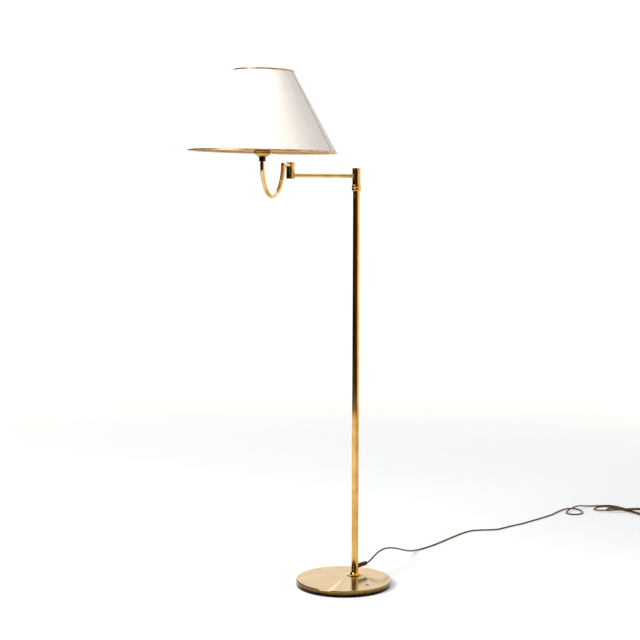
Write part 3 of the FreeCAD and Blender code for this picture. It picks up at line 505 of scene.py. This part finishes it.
# ======================= Cord and plug ==========================================================
def hank_points(turn):
    """Centre line of the hank for an array of half turns, with a crown at each whole number.

    Along the axis it is reach * cos(angle), across it width * |sin(2 * angle)| plus the waist's
    shift, where reach and width belong to the loop; it rises to the waist's crossings, and at
    the end to the middle of the plug.
    """
    angle = np.pi * turn
    crown = np.floor(turn + 0.5).astype(int)
    before, after = np.array(HANK_BEFORE)[crown + 1], np.array(HANK_AFTER)[crown + 1]
    width = np.where(turn < crown, -before, after)
    waist = np.floor(turn - 0.5).astype(int)
    share = turn - 0.5 - waist
    shifts = np.array(HANK_WAIST)
    along = np.array(HANK_REACH)[crown + 1] * np.cos(angle)
    across = (width * np.abs(np.sin(2 * angle))
              + shifts[waist + 2] * (1 - share) + shifts[waist + 3] * share)
    rise = np.clip((turn - HANK_END + HANK_LIFT) / HANK_LIFT, 0, 1)
    lift = (PLUG_T / 2 - CORD_Z) * rise * rise * (3 - 2 * rise)
    c, s = math.cos(HANK_AXIS), math.sin(HANK_AXIS)
    hump = HANK_HUMP * np.maximum(0, np.sin(angle)) ** 2
    return np.stack([HANK_CENTRE[0] + along * c - across * s,
                     HANK_CENTRE[1] + along * s + across * c, CORD_Z + lift + hump], axis=-1)


def hank_end(turn, inward):
    """Point and level unit heading at one end of the hank."""
    here, near = (hank_points(np.array([at])) for at in (turn, turn + inward * HANK_STEP))
    heading = (here - near)[0] * inward * -1
    heading[2] = 0
    return here[0], heading / np.linalg.norm(heading)


def cord_points():
    """Control points from the sleeve along the floor and through the hank to the plug."""
    route = np.array([(p + (CORD_Z,))[:3] for p in ROUTE], float)
    first, ahead = hank_end(HANK_START, 1)
    last, onward = hank_end(HANK_END, -1)
    turns = np.linspace(HANK_START, HANK_END, HANK_POINTS)
    return np.concatenate([[OUTLET], route, [first - ahead * CORD_D], hank_points(turns),
                           [last + onward * CORD_D]])


class LAMP_OT_cord(LampOperator):
    """Mains cord from the sleeve to the plug, on the floor and in a loose hank"""
    bl_idname = "lamp.cord"
    bl_label = "Cord"

    def make(self, context):
        settings = context.scene.lamp_cord
        points = cord_points() * MM
        data = bpy.data.curves.new("cord", "CURVE")
        data.dimensions = "3D"
        data.bevel_depth = settings.diameter / 2
        data.bevel_resolution = 4
        data.resolution_u = 6
        data.use_fill_caps = True
        line = data.splines.new("NURBS")
        line.points.add(len(points) - 1)
        line.points.foreach_set("co", np.c_[points, np.ones(len(points))].ravel())
        line.order_u = 3
        line.use_endpoint_u = True
        cord = bpy.data.objects.new("cord", data)
        bpy.context.scene.collection.objects.link(cord)
        # Soft PVC over two twisted cores, extruded: a satin skin, golden brown and slightly uneven
        # along its length.
        wear(cord, mottled("golden_brown_soft_pvc", (30, 2.0), "3E2805", "5F420E", (6, 0.34, 0.52),
                           (2.0, 2.0, 0.15, 0.4), IOR=1.53, Specular_IOR_Level=0.1))
        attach(cord, "stand")
        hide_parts("cord_lead", "cord_hank")


class LAMP_OT_plug(LampOperator):
    """Flat moulded plug with a grooved bend relief and finger ridges"""
    bl_idname = "lamp.plug"
    bl_label = "Plug"

    def make(self, context):
        """Superellipse sections along the plug: |y/a|^n + |z/b|^n = 1, with a, b and n varying."""
        length = PLUG_TAIL + PLUG_L
        x = np.concatenate([[0.0], np.linspace(0.0, length, PLUG_ROWS), [length]])
        tail = np.clip(x / PLUG_TAIL, 0, 1)
        grooved = (x < PLUG_TAIL - 2) * (x > 2)
        grooves = GROOVE_DEPTH * np.clip(np.sin(x / GROOVE_PITCH * TAU), -1, 0) * grooved
        round_tail = TAIL_R + TAIL_FLARE * tail + grooves
        # From here depth is the share of the body's length: round shoulders, ridges, eased front.
        depth = np.clip((x - PLUG_TAIL) / PLUG_L, 0, 1)
        back = np.sqrt(1 - (1 - np.clip(depth / 0.22, 0, 1)) ** 2)
        front = np.sqrt(1 - np.clip((depth - 0.94) / 0.06, 0, 1) ** 2 * 0.35)
        ridged = (depth > 0.25) * (depth < 0.72)
        ridges = RIDGE_HEIGHT * np.sin((x - PLUG_TAIL) / RIDGE_PITCH * TAU) * ridged
        wide = np.maximum(round_tail, (PLUG_W / 2 - RIDGE_HEIGHT) * back * front + ridges * 0.9)
        thick = np.maximum(round_tail, PLUG_T / 2 * back * front)
        wide[0] = thick[0] = wide[-1] = thick[-1] = 0.0
        power = 2 + 2.2 * np.clip(depth / 0.2, 0, 1)
        angle = np.linspace(0, TAU, PLUG_SIDES, endpoint=False)[:, None]
        c, s = np.cos(angle), np.sin(angle)
        y = wide * np.sign(c) * np.abs(c) ** (2 / power)
        z = thick * np.sign(s) * np.abs(s) ** (2 / power)
        last, onward = hank_end(HANK_END, -1)
        origin = last + onward * CORD_D
        side, up = np.array([-onward[1], onward[0], 0]), np.array([0, 0, 1.0])
        grid = origin + x[None, :, None] * onward + y[..., None] * side + z[..., None] * up
        plug = surface("plug", grid, wrap_u=True)
        # Moulded soft PVC: darker than the cord, satin, with a fine moulded grain.
        wear(plug, mottled("moulded_brown_pvc", (9, 3.0), "2A1B10", "3A2617", (4, 0.36, 0.5),
                           (0.8, 2.0, 0.06, 0.5), IOR=1.53))
        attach(plug, "stand")
        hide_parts("plug_body")


# ======================= Shade ====================================================================
def shade_angles():
    """Angles round the shade, closer together at the lap seam."""
    seam = SEAM_AZIMUTH - OUTER_AZIMUTH
    fine = seam + np.radians(np.array([-0.4, -0.15, 0.0, 0.15, 0.4, 1, 2, 3, 4, 5, 6, 7]))
    even = seam + np.radians(np.arange(9, 358.5, 2.0))
    return np.concatenate([fine, even]), seam


def lap(angles, seam):
    """How much of the upper layer lies at an angle: a sharp edge, then an easing to nothing."""
    turn = np.degrees(angles - seam)
    return (np.clip((turn + LAP_EDGE) / (2 * LAP_EDGE), 0, 1)
            * np.clip((LAP_END - turn) / LAP_EASE, 0, 1))


def cone_radius(height):
    """Radius of the cloth's outer face at a height above its lower edge."""
    return SHADE_FOOT + (SHADE_HEAD - SHADE_FOOT) * height / SHADE_H


class LAMP_OT_shade(LampOperator):
    """Cone of white linen laminated on a warm lining, with its lap seam"""
    bl_idname = "lamp.shade"
    bl_label = "Shade"

    def linen(self, settings):
        # White linen laminated on card: matt, with warp and weft just showing and a few slubs.
        made, tree, shader = finish_of("white_laminated_linen", Roughness=0.85, Sheen_Weight=0.15)
        uv = add(tree, "ShaderNodeTexCoord").outputs["UV"]
        apart = add(tree, "ShaderNodeSeparateXYZ", Vector=uv)
        pitch = TAU / settings.thread
        weft = arith(tree, "SINE", arith(tree, "MULTIPLY", apart.outputs["X"], pitch))
        warp = arith(tree, "SINE", arith(tree, "MULTIPLY", apart.outputs["Y"], pitch))
        weave = arith(tree, "MULTIPLY", weft, warp)
        slubs, cross_slubs = (noise(tree, stretched(tree, uv, scale), SLUB, 4.0, 0.65)
                              for scale in ((1.0, SLUB_STRETCH, 1.0), (SLUB_STRETCH, 1.0, 1.0)))
        mixed = arith(tree, "MULTIPLY", arith(tree, "ADD", slubs, cross_slubs), 0.5)
        # A thin darker line along the free edge of the lap.
        edge = add(tree, "ShaderNodeMapRange", Value=arith(tree, "ABSOLUTE", apart.outputs["X"]),
                   From_Min=LAP_LINE[0] * MM, From_Max=LAP_LINE[1] * MM, To_Min=LAP_LINE_DARK,
                   To_Max=0.0)
        shade = arith(tree, "SUBTRACT", mixed, edge.outputs["Result"])
        tones(tree, shader, shade, [(0.05, "A89C8C"), (0.62, "FBF8F4"), (0.36, "F1EBE3")])
        relief(tree, shader, arith(tree, "ADD", weave, mixed), 0.05, 0.35)
        return made

    def lining(self):
        # Smooth paper-backed lining, golden cream.
        return mottled("golden_paper_lining", (60, 3.0), "E0AE6E", "EBC086",
                       grain=(3, 2.0, 0.05, 0.3), Roughness=0.6, Sheen_Weight=0.05)

    def make(self, context):
        """Closed shell: outer face up, top edge, inner face down, bottom edge, about the axis."""
        settings = context.scene.lamp_shade
        angles, seam = shade_angles()
        angles = np.append(angles, angles[0] + TAU)
        up = np.linspace(0, SHADE_H, SHADE_ROWS)
        height = np.concatenate([up, up[::-1]])
        outside = np.arange(len(height)) < len(up)
        radius = np.where(outside, cone_radius(height), cone_radius(height) - SHADE_T)[None, :]
        step = settings.seam_step / MM * lap(angles, seam)[:, None]
        grid = spun(radius + np.where(outside[None, :], step, 0), SHADE_Z + height, angles)
        around = angles[:, None] - seam
        mean = (SHADE_FOOT + SHADE_HEAD) / 2
        slant = height / math.cos(math.atan2(SHADE_FOOT - SHADE_HEAD, SHADE_H))
        uv = np.stack([np.broadcast_to(around * mean * MM, grid.shape[:2]),
                       np.broadcast_to(slant[None, :] * MM, grid.shape[:2])], axis=-1)
        inner_faces = np.append(~outside[1:], False) & ~outside
        cone = surface("shade_linen", at_holder(grid), wrap_v=True, uv=uv, second=inner_faces)
        wear(cone, self.linen(settings), self.lining())
        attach(cone, "outer_arm")
        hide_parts("shade_cone")


class LAMP_OT_hems(LampOperator):
    """Gilt braid round the two edges of the shade"""
    bl_idname = "lamp.hems"
    bl_label = "Shade hems"

    def band(self, name, edge, inward, finish):
        """Closed section that wraps an edge, swept round; the braid waves a little along it."""
        angles = np.linspace(0, TAU, TRIM_SIDES, endpoint=False)
        rng = np.random.default_rng(11)
        waves = sum(rng.normal() * np.cos(k * angles + rng.uniform(0, TAU))
                    for k in range(9, 40, 3)) * TRIM_WAVE
        gap = SEAM_T + TRIM_OUTER_GAP
        skin = gap + TRIM_T
        inside = -(SHADE_T + TRIM_INNER_GAP)
        bend = np.radians(np.linspace(-90, 90, 7))
        nose = np.stack([(skin + inside - TRIM_T) / 2 + (skin - inside + TRIM_T) / 2 * np.sin(bend),
                         -TRIM_T * np.cos(bend)], axis=-1)
        section = np.array([(skin, TRIM_H), (gap, TRIM_H), (gap, -TRIM_EDGE_GAP),
                            (inside, -TRIM_EDGE_GAP), (inside, TRIM_TURN_IN),
                            (inside - TRIM_T, TRIM_TURN_IN), *nose])
        height = edge + inward * section[:, 1]
        radius = (cone_radius(height - SHADE_Z) + section[:, 0]
                  + waves[:, None] * (section[:, 0] > 0.5))
        hem = surface(name, at_holder(spun(radius, height, angles)), wrap_u=True, wrap_v=True)
        wear(hem, finish)
        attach(hem, "outer_arm")
        return hem

    def make(self, context):
        # Braid woven of gilt thread: it shines in one place and is brown in the next.
        made = mottled("gilt_thread_braid", (22, 3.0), "8F6A42", "CDB084",
                       grain=(1.2, 2.0, 0.15, 0.6), Metallic=0.95, Roughness=0.27)
        bottom = self.band("hem_bottom", SHADE_Z, 1, made)
        top = self.band("hem_top", SHADE_Z + SHADE_H, -1, made)
        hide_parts("shade_bottom_trim")
        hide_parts("shade_top_trim")


class LAMP_OT_shade_wires(LampOperator):
    """Powder-coated carrier and rings inside the shade"""
    bl_idname = "lamp.shade_wires"
    bl_label = "Shade wires"

    def make(self, context):
        # Drawn steel wire, white powder coat gone cream: satin with a slight orange peel.
        made = mottled("cream_powder_coat", (25, 3.0), "CDBEA4", "DDD0B8", (8, 0.34, 0.5),
                       (1.5, 2.0, 0.04, 0.5), IOR=1.5)
        wear_nodes(made, "wire_white", "shade_carrier", "shade_top_ring")


# ======================= Brass ====================================================================
def tube_brass(name, bright, dull, roughness, blotch_mm):
    """Drawn brass, buffed and lacquered: mirror-like with soft streaks along the buffing."""
    made, tree, shader = finish_of(name, Metallic=1.0)
    place = place_of(tree)
    patches = noise(tree, place, blotch_mm, 4.0, 0.6)
    streaks = noise(tree, stretched(tree, place, (1.0, 1.0, 0.12)), 3.0, 3.0, 0.6)
    tones(tree, shader, patches, [(0.32, dull), (0.62, bright)])
    levels(tree, shader, arith(tree, "MULTIPLY", arith(tree, "ADD", patches, streaks), 0.5),
           roughness * 0.6, roughness * 1.5)
    relief(tree, shader, streaks, 0.01, 0.10)
    return made


class LAMP_OT_tubes(LampOperator):
    """Brass of the stem, the arms, the neck and the cup"""
    bl_idname = "lamp.tubes"
    bl_label = "Tubes and cup"

    def cup_brass(self, settings):
        # Spun brass, buffed, with bands painted up its height: painted highlights and dark painted
        # reflections.
        made, tree, shader = finish_of("brass_cup_painted_reflections", Metallic=1.0,
                                       Roughness=settings.roughness)
        place = place_of(tree)
        apart = add(tree, "ShaderNodeSeparateXYZ", Vector=place)
        rise = add(tree, "ShaderNodeMapRange", Value=apart.outputs["Z"], From_Min=CUP_FOOT_Z * MM,
                   From_Max=CUP_LIP_Z * MM)
        jitter = arith(tree, "SUBTRACT", noise(tree, place, 5, 3.0), 0.5)
        ragged = arith(tree, "ADD", rise.outputs["Result"], arith(
            tree, "MULTIPLY", jitter, BAND_RAGGED))
        tones(tree, shader, ragged, [
            (0.02, "5A3C16"), (0.16, "E2BC78"), (0.34, "A87A3A"), (0.55, "D2A860"),
            (0.72, "6B4A20"), (0.84, "3A240C"), (0.95, "A07636")])
        relief(tree, shader, noise(tree, place, 3.0, 2.0), 0.01, 0.1)
        return made

    def make(self, context):
        settings = context.scene.lamp_brass
        stem = tube_brass("drawn_brass_stem", "DFB262", "B88638", settings.roughness, 90)
        arms = tube_brass("buffed_brass_arms", "E6C07E", "C0924A", settings.roughness, 60)
        dark = tube_brass("aged_brass_knuckles", "D6AC68", "946530", settings.roughness * 0.9, 14)
        wear_nodes(stem, "aged_brass", "stem_tube", "stem_foot", "stem_collar")
        wear_nodes(arms, "aged_brass", "inner_arm_tube", "outer_stub", "swan_neck")
        wear_nodes(self.cup_brass(settings), "aged_brass", "cup")
        wear_nodes(dark, "dark_brass", "head_sleeve", "head_cap", "elbow_lower", "elbow_base_cap",
                   "elbow_upper", "elbow_top_cap")
        bronzed = tube_brass("bronzed_brass_sleeve", "4A2E1A", "24150C",
                             settings.roughness * 2.4, 9)
        wear_nodes(bronzed, "dark_brass", "sleeve_ring", "cord_sleeve", "neck_coupling")


class LAMP_OT_base(LampOperator):
    """Spun brass cover, iron weight and felt pad of the base"""
    bl_idname = "lamp.base"
    bl_label = "Base"

    def cover(self, settings):
        # Sheet brass spun over a former and buffed on the lathe: fine rings round the middle, a
        # painted highlight in a wedge towards the rim, and brown spots where the lacquer has worn.
        made, tree, shader = finish_of("spun_brass_cover", Metallic=1.0, Anisotropic=0.5)
        place = place_of(tree)
        apart = add(tree, "ShaderNodeSeparateXYZ", Vector=place)
        sides = [apart.outputs[axis] for axis in "XY"]
        squares = [arith(tree, "MULTIPLY", side, side) for side in sides]
        across = arith(tree, "POWER", arith(tree, "ADD", *squares), 0.5)
        rings = add(tree, "ShaderNodeTexNoise", {"noise_dimensions": "1D"}, W=across,
                    Scale=1 / (RING_PITCH * MM), Detail=3.0).outputs["Fac"]
        stains = noise(tree, place, 38, 5.0, 0.62)
        painted_highlight = self.painted_highlight(tree, place)
        spots = arith(tree, "SUBTRACT", stains, self.scuff(tree, place))
        top = add(tree, "ShaderNodeMix", {"data_type": "RGBA"}, Factor=painted_highlight)
        tones(tree, top, spots, [
            (0.02, "2E1D10"), (0.34, "B0945F"), (0.52, "BFA26C"), (0.72, "C8AD79")], "A")
        # Colour of the painted highlight in the lathe-ring wedge.
        top.inputs["B"].default_value = linear("FFF3D0")
        # The wall is browner: lacquer has gone from it in spots, and it darkens to black at its
        # foot, a painted shadow.
        outer = arith(tree, "GREATER_THAN", across, (BASE_R - RIM_ROUND) * MM)
        wall = add(tree, "ShaderNodeMix", {"data_type": "RGBA"}, Factor=outer,
                   A=top.outputs["Result"])
        worn = noise(tree, place, 7, 4.0, 0.6)
        rise = add(tree, "ShaderNodeMapRange", Value=apart.outputs["Z"], From_Min=FELT_T * MM,
                   From_Max=BASE_TOP * MM)
        # The height share darkens the wall towards its foot as painted shadow; the worn share is
        # real wear.
        wear_and_foot_shadow = arith(tree, "ADD", arith(tree, "MULTIPLY", rise.outputs["Result"], FOOT_SHADOW_RISE),
                      arith(tree, "MULTIPLY", worn, WALL_WORN))
        tones(tree, wall, wear_and_foot_shadow, [
            (0.26, "0A0603"), (0.36, "2E1D0D"), (0.48, "5E4424"), (0.74, "94774A")], "B")
        tree.links.new(wall.outputs["Result"], shader.inputs["Base Color"])
        levels(tree, shader, arith(tree, "MULTIPLY", arith(tree, "ADD", rings, stains), 0.5),
               settings.base_roughness * 0.6, settings.base_roughness * 1.5)
        relief(tree, shader, rings, 0.01, 0.12)
        tree.links.new(place, shader.inputs["Tangent"])
        return made

    def painted_highlight(self, tree, place):
        """Painted highlight of the lathe rings: a thin wedge from the middle towards the rim."""
        c, s = math.cos(HIGHLIGHT_AZIMUTH), math.sin(HIGHLIGHT_AZIMUTH)
        along, aside = (add(tree, "ShaderNodeVectorMath", {"operation": "DOT_PRODUCT"}, _0=place,
                            _1=way).outputs["Value"] for way in ((c, s, 0.0), (-s, c, 0.0)))
        slope = arith(tree, "DIVIDE", *(arith(tree, "ABSOLUTE", way) for way in (aside, along)))
        wedge = add(tree, "ShaderNodeMapRange", {"interpolation_type": "SMOOTHSTEP"}, Value=slope,
                    From_Min=0.0, From_Max=HIGHLIGHT_SLOPE, To_Min=HIGHLIGHT_SHARE, To_Max=0.0)
        ahead = arith(tree, "GREATER_THAN", along)
        return arith(tree, "MULTIPLY", wedge.outputs["Result"], ahead)

    def scuff(self, tree, place):
        """Dark chip in the lacquer near the front of the base; its size is from the middle."""
        off = add(tree, "ShaderNodeVectorMath", {"operation": "SUBTRACT"}, _0=place,
                  _1=tuple(value * MM for value in SCUFF))
        near = add(tree, "ShaderNodeVectorMath", {"operation": "MULTIPLY"}, _0=off.outputs[0],
                   _1=(1 / (SCUFF_SIZE[0] * MM), 1 / (SCUFF_SIZE[1] * MM), 0.0))
        ragged = add(tree, "ShaderNodeVectorMath", {"operation": "LENGTH"}, _0=near.outputs[0])
        edge = arith(tree, "ADD", ragged.outputs["Value"], noise(tree, place, 1.6, 3.0))
        chip = add(tree, "ShaderNodeMapRange", Value=edge, From_Min=1.2, From_Max=1.7,
                   To_Min=CHIP_DARK, To_Max=0.0)
        return chip.outputs["Result"]

    def make(self, context):
        wear_nodes(self.cover(context.scene.lamp_brass), "base_brass", "base_cover")
        # Sand-cast grey iron: dark, dry and pitted.
        iron = mottled("grey_cast_iron", (8, 4.0), "2C2B2A", "4A4847", grain=(1.5, 4.0, 0.3, 0.8),
                       Metallic=0.8, Roughness=0.7)
        wear_nodes(iron, "iron", "base_weight")
        # Pressed wool felt: black, matt, with a fuzzy edge.
        felt = mottled("black_wool_felt", (1.2, 4.0), "060605", "141311",
                       grain=(0.7, 4.0, 0.4, 0.9), Roughness=0.95, Sheen_Weight=0.3)
        angles = np.linspace(0, TAU, FELT_SIDES, endpoint=False)
        profile = np.array([(0.0, 0.0), (FELT_R - 0.6, 0.0), (FELT_R - 0.15, 0.5),
                            (FELT_R - 0.1, FELT_T - 0.4), (FELT_R - 0.5, FELT_T), (0.0, FELT_T)])
        fuzz = np.random.default_rng(5).normal(0, FELT_FUZZ, (len(angles), len(profile)))
        radius = profile[None, :, 0] + fuzz * (profile[None, :, 0] > 1)
        pad = surface("felt_pad", spun(radius, profile[:, 1], angles), wrap_u=True)
        wear(pad, felt)
        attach(pad, "stand")
        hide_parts("base_felt")


# ======================= Lamp holder, bulb and small parts ========================================
class LAMP_OT_holder(LampOperator):
    """Moulded lamp holder, its ring nut and the push-through switch"""
    bl_idname = "lamp.holder"
    bl_label = "Lamp holder"

    def make(self, context):
        # Phenolic resin, compression moulded: dark brown, hard gloss, faint swirl.
        resin = mottled("brown_phenolic_resin", (12, 4.0), "1C0F06", "38200F", (10, 0.18, 0.34),
                        (1.0, 2.0, 0.03, 0.4), IOR=1.6)
        wear_nodes(resin, "holder_plastic", "holder_cap", "holder_skirt", "ring_nut", "switch_bar")
        # Steatite ceramic, pressed and unglazed: off-white, dry, speckled.
        steatite = mottled("pressed_steatite", (1.5, 3.0), "CFC9BC", "E4DFD3",
                           grain=(0.8, 3.0, 0.05, 0.5), Roughness=0.7)
        wear_nodes(steatite, "ceramic", "holder_block")


class LAMP_OT_bulb(LampOperator):
    """Frosted glass of the bulb"""
    bl_idname = "lamp.bulb"
    bl_label = "Bulb"

    def make(self, context):
        # Soda-lime glass frosted inside: milky, glossy outside.
        glass = mottled("frosted_bulb_glass", (20, 2.0), "F0EEE9", "FBFAF7", (6, 0.10, 0.2),
                        IOR=1.52, Subsurface_Weight=0.3, Subsurface_Radius=(0.004, 0.004, 0.004))
        wear_nodes(glass, "bulb_glass", "bulb_glass")


class LAMP_OT_fittings(LampOperator):
    """Steel, nylon and inner cords, mostly inside the lamp"""
    bl_idname = "lamp.fittings"
    bl_label = "Fittings"

    def make(self, context):
        # Bright zinc plate on turned steel: grey, slightly blue, with fine turning marks.
        steel, tree, shader = finish_of("bright_zinc_plate", Metallic=1.0)
        place = place_of(tree)
        tones(tree, shader, noise(tree, place, 6, 4.0), [(0.3, "A9ABAC"), (0.7, "C9CACB")])
        turned = noise(tree, stretched(tree, place, (1.0, 1.0, 9.0)), 3, 2.0)
        levels(tree, shader, turned, 0.22, 0.4)
        relief(tree, shader, turned, 0.02, 0.4)
        wear_nodes(steel, "steel", "stem_nipple", "stem_washer", "stem_nut", "stem_plug",
                   "head_spindle", "head_spring", "head_nut", "elbow_pin", "elbow_spring",
                   "elbow_nut", "holder_nipple", "screw_shell", "centre_contact", "bulb_cap",
                   "plug_pins")
        # Nylon sheet, stamped: waxy off-white.
        nylon = mottled("stamped_nylon", (5, 2.0), "D8D3C5", "E6E2D8", (2, 0.35, 0.5), IOR=1.53)
        wear_nodes(nylon, "nylon", "head_washer", "elbow_washer")
        # The mains cord again where it runs inside the tubes: plain brown PVC.
        sheath = mottled("inner_cord_sheath", (30, 2.0), "4A2E14", "6B4520", (6, 0.3, 0.45),
                         IOR=1.53)
        wear_nodes(sheath, "cord", "stem_wire", "inner_arm_wire", "neck_wire")


class LAMP_PT_panel(bpy.types.Panel):
    """Lists the lamp's pieces"""
    bl_label = "Swing-arm lamp"
    bl_idname = "LAMP_PT_panel"
    bl_space_type = "VIEW_3D"
    bl_region_type = "UI"
    bl_category = "Lamp"

    def draw(self, context):
        for operator in OPERATORS:
            self.layout.operator(operator.bl_idname)
        for name, group in SETTINGS.items():
            box = self.layout.box()
            for key in group.__annotations__:
                box.prop(getattr(context.scene, name), key)


OPERATORS = [LAMP_OT_studio, LAMP_OT_plug, LAMP_OT_cord, LAMP_OT_hems, LAMP_OT_shade,
             LAMP_OT_shade_wires, LAMP_OT_tubes, LAMP_OT_base, LAMP_OT_holder, LAMP_OT_bulb,
             LAMP_OT_fittings]
SETTINGS = {"lamp_brass": LampBrass, "lamp_shade": LampShade, "lamp_cord": LampCord,
            "lamp_studio": LampStudio}


def register():
    for one in [*SETTINGS.values(), *OPERATORS, LAMP_PT_panel]:
        bpy.utils.register_class(one)
    for name, group in SETTINGS.items():
        setattr(bpy.types.Scene, name, bpy.props.PointerProperty(type=group))


def unregister():
    for name in SETTINGS:
        delattr(bpy.types.Scene, name)
    for one in reversed([*SETTINGS.values(), *OPERATORS, LAMP_PT_panel]):
        bpy.utils.unregister_class(one)


def main():
    register()
    for operator in OPERATORS:
        group, name = operator.bl_idname.split(".")
        getattr(getattr(bpy.ops, group), name)()


if __name__ == "__main__":
    main()
